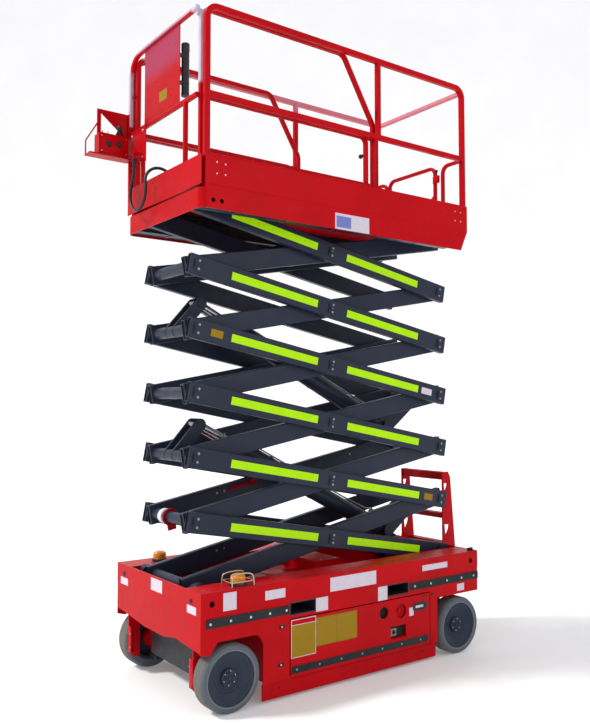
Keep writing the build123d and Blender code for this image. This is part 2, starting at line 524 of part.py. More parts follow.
# route of the control cable: down from its gland, one loose loop, over the front panel and into a socket on the floor
CABLE = [(-1232, 290, 3496), (-1232, 290, 3440), (-1232, 300, 3375), (-1232, 335, 3315), (-1232, 352, 3245),
         (-1232, 325, 3175), (-1232, 262, 3132), (-1232, 186, 3132), (-1232, 125, 3178), (-1232, 100, 3252),
         (-1232, 122, 3346), (-1163, 132, 3414), (-1066, 138, 3414), (-997, 142, 3346), (-997, 142, 3249)]
panel = [box(EXT_X0, EXT_X0 + 6, -PF_Y, PF_Y, BAND_TOP + 14, EXT_TOE),
         box(EXT_X0, EXT_POST_X - EXT_TUBE / 2 - 0.5, -PF_Y, PF_Y, EXT_TOE - 6, EXT_TOE),
         box(EXT_X0 + 5, EXT_X1, -EXT_Y + 2, EXT_Y - 2, floor_z, floor_z + 8)]
for side in (-1, 1):
    panel.append(box(EXT_X0 + 5, EXT_X1, side * (EXT_Y - 5), side * EXT_Y, floor_z, EXT_TOE - 1))
panel.append(cyl_z(CABLE[-1][0], CABLE[-1][1], floor_z + 4, CABLE[-1][2], 15))
put("extension_deck", fuse(panel))


def ext_rails():
    s = EXT_TUBE
    hh = s / 2
    zt, zm = RAIL_Z - 5 - hh, MID_Z - 6 - hh
    x0, xe = EXT_POST_X, EXT_END_X
    ye = EXT_Y - 6 - hh
    yo = PF_Y - 15
    zb = EXT_TOE - 90
    parts = []
    for side in (-1, 1):
        y = side * ye
        # side loop: front post, top rail, slope and rear leg; the middle rail bends down into a second leg
        parts.append(rail([(x0, y, zb), (x0, y, zt), (0, y, zt), (276, y, 3830), (276, y, zb)], 70, size=s))
        parts.append(rail([(x0 + 3, y, zm), (210, y, zm), (210, y, zb)], 50, size=s - 1))
        parts.append(rail([(200, y, zm), (273, y, zm)], 0, size=s - 3))
    # end frame: its far top corner is a wide bend, its near end stops at the side loop
    parts.append(rail([(xe, -ye - 4, zt - 6), (xe, yo, zt - 6), (xe, yo, EXT_TOE)], 150, size=s - 2))
    parts.append(rail([(xe, -ye - 4, zm), (xe, yo - 3, zm)], 0, size=s - 3))
    parts.append(box(xe - 5, x0 + 12, -ye - 4, -ye + 4, zt - 60, zt - 12))
    for z in (3482, 4000):
        parts.append(box(xe - 5, xe + 9, ye - 6, yo - 3, z, z + 6) + box(xe + 5, x0 + 5, ye - 6, ye + 6, z, z + 6))
    for y in (-305, 305):
        parts.append(rail([(xe, y, EXT_TOE), (xe, y, zm - 3)], 0, size=s - 4))
    parts.append(box(xe - 2, xe + 2, -225, 284, zm + 3, zt - 9))       # flat board
    return fuse(parts)


put("extension_rails", ext_rails())
put("document_tube", fuse([cyl_z(-1114, -214, 3800, 4143, 25)] + [box(EXT_END_X + 2, -1135, -224, -204, z, z + 22) for z in (3870, 4050)]))

# control box and its bracket on the front far corner
cb = fillet(box(-1425, -1205, 440, 518, 3541, 3690).edges().filter_by(Axis.Y), 12)
put("control_box", fuse([cb, cyl_z(-1262, 470, 3688, 3700, 22), cyl_z(-1262, 470, 3698, 3745, 9), cyl_z(-1262, 470, 3735, 3768, 15)]))
PF = EXT_END_X - EXT_TUBE / 2 + 1       # front face of the end frame
guard = FilletPolyline(Vector(-1390, 524, 3800), Vector(-1486, 524, 3640), Vector(-1486, 524, 3534), radius=30)
guard = sweep(Plane(origin=(-1390, 524, 3800), z_dir=Vector(-96, 0, -160).normalized()) * Circle(5), path=guard)
brk = [box(-1491, PF - 5, 432, 529, 3531, 3541),
       plate_yz([(224, 3474), (524, 3545), (524, 3735), (224, 3735)], PF - 6, PF),        # plate across two posts
       box(-1250, PF - 3, 262, 318, 3531, 3537),
       cyl_z(CABLE[0][0], CABLE[0][1], CABLE[0][2], 3560, 14),
       box(-1405, -1378, 519, 529, 3535, 3880), box(-1405, PF, 519, 529, 3852, 3880),
       plate_xz([(-1378, 3854), (PF - 2, 3854), (PF - 2, 3690)], 520, 526),
       box(PF - 6, PF, 500, 529, 3700, 3880), guard]
put("control_box_bracket", fuse(brk))


def cable():
    pts = [Vector(*p) for p in CABLE]
    radii = []
    for a, b, c in zip(pts, pts[1:], pts[2:]):
        turn = (b - a).get_angle(c - b)
        radii.append(0.45 * min((b - a).length, (c - b).length) / tan(radians(turn) / 2))
    path = FilletPolyline(*pts, radius=radii)
    print("cable radii", [round(r) for r in radii], "length", round(path.length, 1))
    pl = Plane(origin=pts[0], z_dir=(pts[1] - pts[0]).normalized())
    tube = sweep(pl * Circle(CABLE_R), path=path)
    print("cable volume over section times length", round(tube.volume / (3.14159265 * CABLE_R ** 2 * path.length), 4))
    return tube


put("control_box_cable", cable())

# ---------------------------------------------------------------- ladder, beacons, strips
lad = []
for side in (-1, 1):
    p = plate_xz([(CH_X, 440), (1345, 440), (1332, 660), (1280, 1240), (1256, 1287), (1190, 1287), (1190, 745), (CH_X, 740)], side * 225, side * 235)
    for pts in ([(1206, 1196), (1245, 1196), (1240, 1168), (1212, 1128)], [(1210, 872), (1262, 872), (1256, 836), (1222, 780)]):
        p = p - plate_xz(pts, side * 215, side * 245)
    lad.append(p)
for z, t in ((1254.0, 30.0), (942.0, 20.0), (716.0, 20.0), (480.0, 20.0)):
    lad.append(box(1200, 1262, -226, 226, z - t, z + t))
put("ladder", fuse(lad))

beacons = []
for x, y in ((-885, -505), (-930, 458)):
    b = cyl_z(x, y, CH_TOP, CH_TOP + 18, 52) + cyl_z(x, y, CH_TOP + 16, CH_TOP + 52, 46)
    dome = Pos(x, y, CH_TOP + 50) * scale(Sphere(46), by=(1, 1, 0.5))
    beacons.append(b + (dome & box(x - 60, x + 60, y - 60, y + 60, CH_TOP + 49, CH_TOP + 120)))
put("beacons", beacons)

strips = []
for side in (-1, 1):
    for xa, xb in STRIPS:
        strips.append(box(xa, xb, side * CH_Y, side * (CH_Y + 6), *STRIP_Z))
put("bumper_strips", strips)

# ---------------------------------------------------------------- swing-out trays
for nm, side in (("left", -1), ("right", 1)):
    door = box(DOOR_X0, DOOR_X1, side * (CH_Y - PL), side * CH_Y, DOOR_Z0, DOOR_Z1)
    for hole in (cyl_y(240, side * 560, side * 600, 403, 40), cyl_y(399, side * 560, side * 600, 393, 50),
                 box(304, 446, side * 560, side * 600, 212, 297)):
        door = door - hole
    back = fuse([box(170, 470, side * (CH_Y - PL - 26), side * (CH_Y - PL - 22), TRAY_Z + 4, 460),
                 box(166, 172, side * (CH_Y - PL - 26), side * (CH_Y - PL + 1), TRAY_Z + 4, 460),
                 box(468, 474, side * (CH_Y - PL - 26), side * (CH_Y - PL + 1), TRAY_Z + 4, 460)])
    floor = box(-520, 620, side * 420, side * (CH_Y - PL + 1), TRAY_Z, TRAY_Z + 10)
    strip = box(DOOR_X0 + 4, 660, side * (CH_Y - 1), side * (CH_Y + 5), 146, 192)
    put(f"tray_{nm}", fuse([door, floor, back, strip]))
    if side < 0:
        put("tray_left_batteries", [box(-500 + i * 265, -250 + i * 265, -545, -425, TRAY_Z + 10, 470) for i in range(4)])
    else:
        put("tray_right_power_unit", fuse([box(-420, 100, 425, 545, TRAY_Z + 10, 400), box(99, 520, 430, 540, TRAY_Z + 10, 450)]))

# ---------------------------------------------------------------- pothole guards
for nm, side in (("left", -1), ("right", 1)):
    put(f"pothole_guard_{nm}", box(SKIRT_X0 + 4, SKIRT_X1 - 4, side * (CH_Y - 26), side * (CH_Y - 16), 18, 113))

# ---------------------------------------------------------------- write
os.makedirs("parts", exist_ok=True)
for name, shape in NODES.items():
    export_step(shape, f"parts/{name}.step")
boxes = [s.bounding_box() for s in NODES.values()]
lo = [min(b.min.X for b in boxes), min(b.min.Y for b in boxes), min(b.min.Z for b in boxes)]
hi = [max(b.max.X for b in boxes), max(b.max.Y for b in boxes), max(b.max.Z for b in boxes)]
print(len(NODES), "nodes, box", [round(v, 2) for v in lo], [round(v, 2) for v in hi])
for name, shape in NODES.items():
    if len(shape.solids()) > 1:
        print("solids", name, len(shape.solids()))
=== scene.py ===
import bpy, bmesh, math, random
from mathutils import Vector, Matrix


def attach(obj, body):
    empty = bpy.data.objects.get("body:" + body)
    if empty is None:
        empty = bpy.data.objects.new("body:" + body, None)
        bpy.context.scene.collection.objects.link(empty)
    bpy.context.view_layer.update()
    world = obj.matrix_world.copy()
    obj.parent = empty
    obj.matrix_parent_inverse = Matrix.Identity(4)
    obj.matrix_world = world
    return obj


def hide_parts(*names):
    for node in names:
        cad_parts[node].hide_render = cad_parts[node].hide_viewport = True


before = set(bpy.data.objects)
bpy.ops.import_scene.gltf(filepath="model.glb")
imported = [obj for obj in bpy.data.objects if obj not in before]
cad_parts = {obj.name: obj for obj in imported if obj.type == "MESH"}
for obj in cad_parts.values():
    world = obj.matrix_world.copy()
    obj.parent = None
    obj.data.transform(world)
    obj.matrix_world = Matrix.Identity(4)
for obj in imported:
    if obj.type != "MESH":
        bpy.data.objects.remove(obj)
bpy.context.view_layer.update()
NX = 0.0735                      # chassis centre in the row frame
COL = bpy.context.scene.collection


# ------------------------------------------------------------------ camera
def camera():
    cam = bpy.data.cameras.new("camera")
    ob = bpy.data.objects.new("camera", cam)
    COL.objects.link(ob)
    yaw, pitch = math.radians(53.8736), math.radians(2.9926)
    ob.location = (-3.5088 + NX, -4.6904, 1.8323)
    d = Vector((math.cos(yaw) * math.cos(pitch), math.sin(yaw) * math.cos(pitch), math.sin(pitch)))
    ob.rotation_euler = d.to_track_quat("-Z", "Y").to_euler()
    cam.sensor_fit = "AUTO"
    cam.sensor_width = 36.0
    cam.lens = 798.174 * 36.0 / 723.0
    cam.clip_start, cam.clip_end = 0.05, 200
    bpy.context.scene.camera = ob
    bpy.context.scene.view_settings.view_transform = "Standard"


camera()


# ------------------------------------------------------------------ material helpers
def mat(name):
    m = bpy.data.materials.new(name)
    m.use_nodes = True
    nt = m.node_tree
    nt.nodes.clear()
    out = nt.nodes.new("ShaderNodeOutputMaterial")
    bs = nt.nodes.new("ShaderNodeBsdfPrincipled")
    nt.links.new(bs.outputs[0], out.inputs[0])
    return m, nt, bs


def N(nt, kind, **kw):
    n = nt.nodes.new("ShaderNode" + kind)
    for k, v in kw.items():
        if k.startswith("i_"):
            key = k[2:].replace("_", " ")
            n.inputs[key].default_value = v
        else:
            setattr(n, k, v)
    return n


def ramp(nt, src, stops):
    r = N(nt, "ValToRGB")
    nt.links.new(src, r.inputs[0])
    e = r.color_ramp.elements
    while len(e) < len(stops):
        e.new(0.5)
    for el, (p, c) in zip(e, stops):
        el.position = p
        el.color = (c, c, c, 1) if isinstance(c, (int, float)) else (*c, 1)
    return r.outputs[0]


def mix(nt, fac, a, b, blend="MIX"):
    n = N(nt, "Mix", data_type="RGBA", blend_type=blend)
    for i, v in ((0, fac), (6, a), (7, b)):
        if hasattr(v, "is_linked") or hasattr(v, "links"):
            nt.links.new(v, n.inputs[i])
        else:
            n.inputs[i].default_value = v if i == 0 else (*v, 1)
    return n.outputs[2]


def noise(nt, co, scale, detail=4.0, rough=0.6):
    n = N(nt, "TexNoise", i_Scale=scale, i_Detail=detail, i_Roughness=rough)
    nt.links.new(co, n.inputs["Vector"])
    return n.outputs[0]


def coords(nt):
    return N(nt, "TexCoord").outputs["Object"]


def stretched(nt, co, s):
    m = N(nt, "Mapping")
    m.inputs["Scale"].default_value = s
    nt.links.new(co, m.inputs["Vector"])
    return m.outputs[0]


def bump(nt, bs, src, strength, dist):
    b = N(nt, "Bump", i_Strength=strength, i_Distance=dist)
    nt.links.new(src, b.inputs["Height"])
    nt.links.new(b.outputs[0], bs.inputs["Normal"])


def paint(name, base, dark, dust=(0.32, 0.25, 0.20), rough=(0.24, 0.42), dust_amount=0.25, coat=0.0, film=None, peel=0.08, spec=0.07):
    """Sprayed paint: slow colour drift, fine orange peel, faint scratches, dust gathered in patches.
    film = list of (axis, lower edge, upper edge, softness, colour, strength) for thin protective film."""
    m, nt, bs = mat(name)
    co = coords(nt)
    big = noise(nt, co, 2.2, 3)
    mid = noise(nt, co, 14, 5)
    col = mix(nt, ramp(nt, big, [(0.30, 0.0), (0.72, 1.0)]), base, dark)
    specks = ramp(nt, noise(nt, co, 55, 8, 0.75), [(0.60, 0.0), (0.76, dust_amount)])
    col = mix(nt, specks, col, dust)
    scr = ramp(nt, noise(nt, stretched(nt, co, (3, 3, 90)), 6, 6, 0.7), [(0.66, 0.0), (0.74, dust_amount * 0.8)])
    col = mix(nt, scr, col, tuple(min(1, v * 1.5 + 0.03) for v in base))
    if film:
        for axis, lo, hi, soft, fcol, amount in film:
            sep = N(nt, "SeparateXYZ")
            nt.links.new(co, sep.inputs[0])
            masks = []
            for ax, edge, sgn in axis:
                mr = N(nt, "MapRange")
                mr.clamp = True
                mr.inputs[1].default_value = edge - soft * sgn
                mr.inputs[2].default_value = edge + soft * sgn
                nt.links.new(sep.outputs[ax], mr.inputs[0])
                masks.append(mr.outputs[0])
            cur = masks[0]
            for o in masks[1:]:
                mm = N(nt, "Math", operation="MULTIPLY")
                nt.links.new(cur, mm.inputs[0])
                nt.links.new(o, mm.inputs[1])
                cur = mm.outputs[0]
            mm = N(nt, "Math", operation="MULTIPLY")
            nt.links.new(cur, mm.inputs[0])
            nt.links.new(ramp(nt, noise(nt, stretched(nt, co, (1, 1, 0.35)), 26, 4), [(0.25, amount * 0.72), (0.75, amount)]), mm.inputs[1])
            col = mix(nt, mm.outputs[0], col, fcol)
    nt.links.new(col, bs.inputs["Base Color"])
    nt.links.new(ramp(nt, mid, [(0.25, rough[0]), (0.80, rough[1])]), bs.inputs["Roughness"])
    bs.inputs["Coat Weight"].default_value = coat
    bs.inputs["Coat Roughness"].default_value = 0.16
    bs.inputs["Specular IOR Level"].default_value = spec
    bump(nt, bs, noise(nt, co, 260, 3), peel, 0.0006)
    return m


def metal(name, col, rough, scale=(4, 60, 60), bump_s=0.15):
    m, nt, bs = mat(name)
    co = coords(nt)
    n1 = noise(nt, stretched(nt, co, scale), 12, 6, 0.7)
    nt.links.new(mix(nt, ramp(nt, n1, [(0.3, 0.0), (0.7, 1.0)]), col, tuple(v * 0.78 for v in col)), bs.inputs["Base Color"])
    nt.links.new(ramp(nt, noise(nt, co, 30, 5), [(0.3, rough * 0.75), (0.75, min(1, rough * 1.35))]), bs.inputs["Roughness"])
    bs.inputs["Metallic"].default_value = 1.0
    bump(nt, bs, n1, bump_s, 0.0004)
    return m


def rubber(name, col, dust, rough=0.72, grain=180.0, amount=0.5):
    m, nt, bs = mat(name)
    co = coords(nt)
    c = mix(nt, ramp(nt, noise(nt, co, 7, 5), [(0.35, 0.0), (0.75, amount)]), col, dust)
    c = mix(nt, ramp(nt, noise(nt, co, 60, 6, 0.8), [(0.58, 0.0), (0.80, amount * 0.6)]), c, tuple(v * 1.5 for v in dust))
    nt.links.new(c, bs.inputs["Base Color"])
    nt.links.new(ramp(nt, noise(nt, co, 22, 4), [(0.3, rough - 0.12), (0.7, rough + 0.14)]), bs.inputs["Roughness"])
    bs.inputs["Specular IOR Level"].default_value = 0.2
    bump(nt, bs, noise(nt, co, grain, 4), 0.25, 0.0008)
    return m


def plastic(name, col, rough=0.45, grain=320.0, vary=0.8):
    m, nt, bs = mat(name)
    co = coords(nt)
    nt.links.new(mix(nt, ramp(nt, noise(nt, co, 18, 5), [(0.35, 0.0), (0.7, 1.0)]), col, tuple(v * vary for v in col)), bs.inputs["Base Color"])
    nt.links.new(ramp(nt, noise(nt, co, 40, 4), [(0.3, rough * 0.8), (0.7, min(1, rough * 1.25))]), bs.inputs["Roughness"])
    bump(nt, bs, noise(nt, co, grain, 2), 0.15, 0.0005)
    return m


def lens(name, col):
    m, nt, bs = mat(name)
    co = coords(nt)
    w = N(nt, "TexWave", bands_direction="Z", i_Scale=60.0, i_Distortion=0.4)
    nt.links.new(co, w.inputs["Vector"])
    nt.links.new(mix(nt, ramp(nt, noise(nt, co, 30, 3), [(0.3, 0.0), (0.7, 1.0)]), col, (col[0] * 0.85, col[1] * 0.62, 0.0)), bs.inputs["Base Color"])
    bs.inputs["Roughness"].default_value = 0.12
    bs.inputs["Transmission Weight"].default_value = 0.25
    bs.inputs["IOR"].default_value = 1.5
    bs.inputs["Coat Weight"].default_value = 0.6
    bs.inputs["Coat Roughness"].default_value = 0.05
    bump(nt, bs, w.outputs[1], 0.35, 0.002)
    return m


def label_mat(name, base, ink, rows, cols=3.0, amount=0.55, seed=1.0):
    """A printed plate with nothing to read on it: faint rows of short blocks."""
    m, nt, bs = mat(name)
    co = coords(nt)
    mp = stretched(nt, co, (rows * 2.4, rows * 2.4, rows * 9.0))
    v = N(nt, "TexNoise", i_Scale=3.0, i_Detail=1.0)
    nt.links.new(mp, v.inputs["Vector"])
    soil = ramp(nt, noise(nt, co, 40, 5), [(0.4, 0.0), (0.8, 0.35)])
    c = mix(nt, ramp(nt, v.outputs[0], [(0.50, 0.0), (0.56, amount)]), base, ink)
    c = mix(nt, soil, c, tuple(x * 0.75 for x in base))
    nt.links.new(c, bs.inputs["Base Color"])
    nt.links.new(ramp(nt, noise(nt, co, 30, 3), [(0.3, 0.36), (0.7, 0.52)]), bs.inputs["Roughness"])
    bs.inputs["Specular IOR Level"].default_value = 0.15
    bump(nt, bs, noise(nt, co, 150, 2), 0.06, 0.0003)
    return m


def tape_mat():
    """Reflective tape: saturated lime with a fine cell pattern and a faint painted glow."""
    m, nt, bs = mat("lime_tape")
    co = coords(nt)
    v = N(nt, "TexVoronoi", feature="DISTANCE_TO_EDGE", i_Scale=240.0)
    nt.links.new(co, v.inputs["Vector"])
    cell = ramp(nt, v.outputs[0], [(0.02, 1.0), (0.10, 0.0)])
    c = mix(nt, ramp(nt, noise(nt, co, 9, 4), [(0.35, 0.0), (0.75, 1.0)]), (0.40, 0.72, 0.003), (0.34, 0.64, 0.002))
    c = mix(nt, cell, c, (0.27, 0.50, 0.002))
    c = mix(nt, ramp(nt, noise(nt, co, 45, 7, 0.8), [(0.66, 0.0), (0.84, 0.4)]), c, (0.22, 0.30, 0.06))
    nt.links.new(c, bs.inputs["Base Color"])
    bs.inputs["Roughness"].default_value = 0.38
    bs.inputs["Specular IOR Level"].default_value = 0.12
    # painted glow: a weak lime emission makes the tape shine as if lit; the tape is no lamp
    bs.inputs["Emission Color"].default_value = (0.42, 0.85, 0.0, 1)
    bs.inputs["Emission Strength"].default_value = 0.20
    bump(nt, bs, v.outputs[0], 0.2, 0.0004)
    return m


X, Y, Z = 0, 1, 2
RDUST = (0.34, 0.025, 0.027)
RED_B, RED_D = (0.52, 0.0015, 0.006), (0.42, 0.0012, 0.005)
LILAC = (0.60, 0.61, 0.76)
PINK = (0.70, 0.33, 0.40)
RED = paint("red_paint", RED_B, RED_D, dust=RDUST, dust_amount=0.25)
RED_LOW = paint("red_paint_chassis", (0.52, 0.002, 0.006), (0.40, 0.0015, 0.005), dust=RDUST, dust_amount=0.30, rough=(0.26, 0.44))
RED_FRONT = paint("red_paint_front_frame", RED_B, RED_D,
                  dust=RDUST, dust_amount=0.25,
                  film=[([(X, NX - 1.085, -1), (Y, -0.40, -1), (Z, 3.81, 1)], 0, 0, 0.012, LILAC, 0.93),
                        ([(X, NX - 1.085, -1), (Z, 4.274, 1)], 0, 0, 0.006, LILAC, 0.85),
                        ([(X, NX - 1.145, -1), (Y, 0.490, 1), (Z, 3.79, 1)], 0, 0, 0.008, LILAC, 0.90),
                        ([(X, NX - 1.14, -1), (Y, -0.24, 1), (Y, 0.290, -1), (Z, 4.04, 1), (Z, 4.262, -1)], 0, 0, 0.05, (0.30, 0.075, 0.17), 0.85)])
RED_RAIL_FAR = paint("red_paint_far_rail", RED_B, RED_D, dust=RDUST, film=[([(Z, 4.2, 1), (X, NX - 0.9, 1)], 0, 0, 0.03, PINK, 0.65)])
RED_ENTRY = paint("red_paint_entry", RED_B, RED_D, dust=RDUST, film=[([(Z, 4.15, 1)], 0, 0, 0.01, PINK, 0.80)])
NAVY = paint("slate_paint", (0.018, 0.024, 0.046), (0.012, 0.017, 0.036), dust=(0.09, 0.10, 0.13), rough=(0.32, 0.50), dust_amount=0.10, coat=0.02, spec=0.22)
RIM = paint("wheel_paint", (0.036, 0.050, 0.072), (0.026, 0.037, 0.056), dust=(0.16, 0.15, 0.14), rough=(0.30, 0.50), dust_amount=0.20, coat=0.05)
DARK = paint("dark_metal", (0.018, 0.020, 0.027), (0.012, 0.013, 0.018), dust=(0.14, 0.13, 0.12), rough=(0.35, 0.6), dust_amount=0.18, coat=0.0, spec=0.25)
TYRE = rubber("grey_tyre", (0.088, 0.110, 0.140), (0.15, 0.14, 0.125), 0.62)
TREAD = rubber("grey_tread", (0.120, 0.118, 0.115), (0.21, 0.17, 0.135), 0.78)
LIP = rubber("tyre_lip", (0.17, 0.19, 0.215), (0.20, 0.19, 0.17), 0.5)
BLACK_RUBBER = rubber("black_rubber", (0.013, 0.018, 0.021), (0.035, 0.038, 0.038), 0.6, amount=0.4)
BLACK = plastic("black_plastic", (0.007, 0.008, 0.011), 0.45)
HOLE = plastic("deep_shadow", (0.006, 0.006, 0.007), 0.9)
STEEL = metal("zinc_steel", (0.62, 0.62, 0.64), 0.32)
# the rods' chrome is set darker than bright chrome: painted shade, so they read dark as in shadow
CHROME = metal("chrome_rod", (0.42, 0.43, 0.47), 0.24, scale=(40, 40, 40), bump_s=0.03)
BOLT = metal("pin_bolt", (0.34, 0.34, 0.37), 0.42)
AMBER = lens("amber_lens", (0.95, 0.36, 0.01))
BRASS = metal("guard_wire", (0.62, 0.52, 0.36), 0.35)
FLOORP = metal("deck_plate", (0.36, 0.36, 0.38), 0.45)
LIME = tape_mat()
WHITE_L = label_mat("white_label", (0.66, 0.60, 0.68), (0.40, 0.34, 0.42), 22.0, amount=0.35)
YELLOW_L = label_mat("yellow_label", (0.32, 0.19, 0.004), (0.20, 0.13, 0.005), 14.0, amount=0.35)
YELLOW_B = label_mat("yellow_border", (0.16, 0.11, 0.01), (0.12, 0.08, 0.01), 14.0, amount=0.3)
BLUE_L = label_mat("blue_label", (0.17, 0.20, 0.50), (0.09, 0.12, 0.40), 7.0, amount=0.3)
BATTERY = plastic("battery_case", (0.03, 0.03, 0.032), 0.55)


# ------------------------------------------------------------------ mesh helpers
def V(x, y, z):
    return Vector((x + NX, y, z))


def finish_mesh(name, bm, m, body, smooth=True, angle=0.6):
    bmesh.ops.remove_doubles(bm, verts=bm.verts, dist=1e-6)
    bmesh.ops.recalc_face_normals(bm, faces=bm.faces)
    me = bpy.data.meshes.new(name)
    bm.to_mesh(me)
    bm.free()
    mats = m if isinstance(m, (list, tuple)) else [m]
    for x in mats:
        me.materials.append(x)
    ob = bpy.data.objects.new(name, me)
    COL.objects.link(ob)
    if smooth:
        for p in me.polygons:
            p.use_smooth = True
        me.set_sharp_from_angle(angle=angle)
    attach(ob, body)
    return ob


def add_box(bm, lo, hi, bevel=0.0, mi=0, mtx=None):
    before = set(bm.faces)
    r = bmesh.ops.create_cube(bm, size=1.0)
    vs = r["verts"]
    c = [(a + b) / 2 for a, b in zip(lo, hi)]
    s = [abs(b - a) for a, b in zip(lo, hi)]
    for v in vs:
        v.co = Vector((v.co.x * s[0] + c[0], v.co.y * s[1] + c[1], v.co.z * s[2] + c[2]))
    if bevel > 0:
        es = list(set(e for v in vs for e in v.link_edges))
        bmesh.ops.bevel(bm, geom=es, offset=bevel, segments=2, affect="EDGES", profile=0.5)
    fs = set(bm.faces) - before
    vs = list(set(v for f in fs for v in f.verts))
    for f in fs:
        f.material_index = mi
    if mtx is not None:
        bmesh.ops.transform(bm, matrix=mtx, verts=vs)
    return vs


def add_disc(bm, p, axis, profile, seg=24, mi=0):
    """Solid of revolution: profile is a list of (radius, distance along axis) from p."""
    axis = Vector(axis).normalized()
    u = axis.orthogonal().normalized()
    w = axis.cross(u)
    rings = []
    for r, d in profile:
        if r <= 1e-7:
            rings.append([bm.verts.new(Vector(p) + axis * d)])
        else:
            rings.append([bm.verts.new(Vector(p) + axis * d + (u * math.cos(a) + w * math.sin(a)) * r)
                          for a in [2 * math.pi * i / seg for i in range(seg)]])
    for k, (a, b) in enumerate(zip(rings, rings[1:])):
        for i in range(seg):
            j = (i + 1) % seg
            if len(a) == 1 and len(b) == 1:
                continue
            if len(a) == 1:
                f = bm.faces.new((a[0], b[i], b[j]))
            elif len(b) == 1:
                f = bm.faces.new((a[i], b[0], a[j]))
            else:
                f = bm.faces.new((a[i], b[i], b[j], a[j]))
            f.material_index = mi[k] if isinstance(mi, (list, tuple)) else mi


def add_bolt(bm, p, axis, r, mi=0, washer=True):
    """Hexagon head bolt with a washer and a domed top."""
    h = r * 0.75
    if washer:
        add_disc(bm, p, axis, [(0, 0), (r * 1.45, 0), (r * 1.45, r * 0.16), (r * 1.35, r * 0.22), (0, r * 0.22)], 20, mi)
    add_disc(bm, Vector(p) + Vector(axis).normalized() * r * 0.2, axis, [(0, 0), (r, 0), (r, h * 0.85), (r * 0.86, h), (0, h)], 6, mi)


def wire(name, pts, r, m, body, cyclic=False, order=3):
    """A bent rod through control points."""
    cu = bpy.data.curves.new(name, "CURVE")
    cu.dimensions = "3D"
    sp = cu.splines.new("NURBS")
    sp.points.add(len(pts) - 1)
    for p, q in zip(sp.points, pts):
        p.co = (*q, 1)
    sp.order_u = order
    sp.use_endpoint_u = not cyclic
    sp.use_cyclic_u = cyclic
    cu.bevel_depth = r
    cu.bevel_resolution = 3
    cu.resolution_u = 8
    cu.use_fill_caps = True
    cu.materials.append(m)
    ob = bpy.data.objects.new(name, cu)
    COL.objects.link(ob)
    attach(ob, body)
    return ob


# ------------------------------------------------------------------ control cable (comes first after the camera)
ROUTE = [(-1232, 290, 3496), (-1232, 290, 3440), (-1232, 300, 3375), (-1232, 335, 3315), (-1232, 352, 3245),
         (-1232, 325, 3175), (-1232, 262, 3132), (-1232, 186, 3132), (-1232, 125, 3178), (-1232, 100, 3252),
         (-1232, 122, 3346), (-1163, 132, 3414), (-1066, 138, 3414), (-997, 142, 3346), (-997, 142, 3249)]


def cable():
    cu = bpy.data.curves.new("control_cable", "CURVE")
    cu.dimensions = "3D"
    sp = cu.splines.new("NURBS")
    sp.points.add(len(ROUTE) - 1)
    for p, (x, y, z) in zip(sp.points, ROUTE):
        p.co = (x / 1000 + NX, y / 1000, z / 1000, 1)
    sp.order_u = 3
    sp.use_endpoint_u = True
    cu.bevel_depth = 0.010
    cu.bevel_resolution = 5
    cu.resolution_u = 10
    cu.use_fill_caps = True
    cu.materials.append(CABLE_M)
    ob = bpy.data.objects.new("control_cable", cu)
    COL.objects.link(ob)
    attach(ob, "extension")
    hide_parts("control_box_cable")
    # tapered strain reliefs at both ends
    reliefs = []
    for nm, p, ax in (("cable_relief_top", (-1232, 290, 3499), (0, 0, -1)), ("cable_relief_floor", (-997, 142, 3246), (0, 0, 1))):
        bm = bmesh.new()
        prof = [(0.0, 0.0), (0.0165, 0.0), (0.0168, 0.006)]
        for i in range(6):
            d = 0.008 + i * 0.0065
            r = 0.0160 - i * 0.0009
            prof += [(r, d), (r, d + 0.004), (r - 0.0018, d + 0.0045), (r - 0.0018, d + 0.006)]
        prof += [(0.0105, 0.047), (0.0098, 0.047)]
        add_disc(bm, Vector((p[0] / 1000 + NX, p[1] / 1000, p[2] / 1000)), ax, prof, 28)
        reliefs.append(finish_mesh(nm, bm, BLACK, "extension"))
    return ob, reliefs


CABLE_M = plastic("cable_jacket", (0.006, 0.006, 0.009), 0.5, 500.0)
cable_ob, reliefs = cable()

# ------------------------------------------------------------------ materials on the CAD nodes
by_name = {
    "bumper_strips": BLACK_RUBBER, "beacons": AMBER, "stack_base_mounts": DARK, "platform_underframe": DARK,
    "front_axle": DARK, "rear_axle": DARK, "tie_rod": DARK, "extension_rails": RED_FRONT, "guard_rail_right": RED_RAIL_FAR,
    "entry_frame": RED_ENTRY, "document_tube": BLACK, "tray_left_batteries": BATTERY, "tray_right_power_unit": DARK,
    # fork_pockets take the dark metal so their insides read black: painted shade inside the pockets
    "fork_pockets": DARK, "steering_knuckle_left": RED_LOW, "steering_knuckle_right": RED_LOW,
}
for n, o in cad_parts.items():
    m = by_name.get(n, RED)
    if n.startswith(("chassis", "tray_left", "tray_right", "pothole", "well", "fork", "ladder")) and n not in by_name:
        m = RED_LOW
    if "arms" in n:
        m = NAVY
    if n.startswith("rim"):
        m = RIM
    if n.startswith("tyre"):
        m = TYRE
    if n.endswith("_barrel"):
        m = NAVY
    if n.endswith("_rod") and n.startswith("lift"):
        m = CHROME
    for s in o.material_slots:
        s.material = m

# ------------------------------------------------------------------ scissor stack trim
TH, ARM_L, Z0 = math.radians(10.6), 2.187, 0.691
RISE = ARM_L * math.sin(TH)


def arm_matrix(n, up):
    """Arm coordinates (x along the arm, y across, z up the section) to the row frame."""
    a = TH if up else -TH
    return Matrix.Translation(Vector((NX, 0, Z0 + (n - 0.5) * RISE))) @ Matrix.Rotation(-a, 4, "Y")


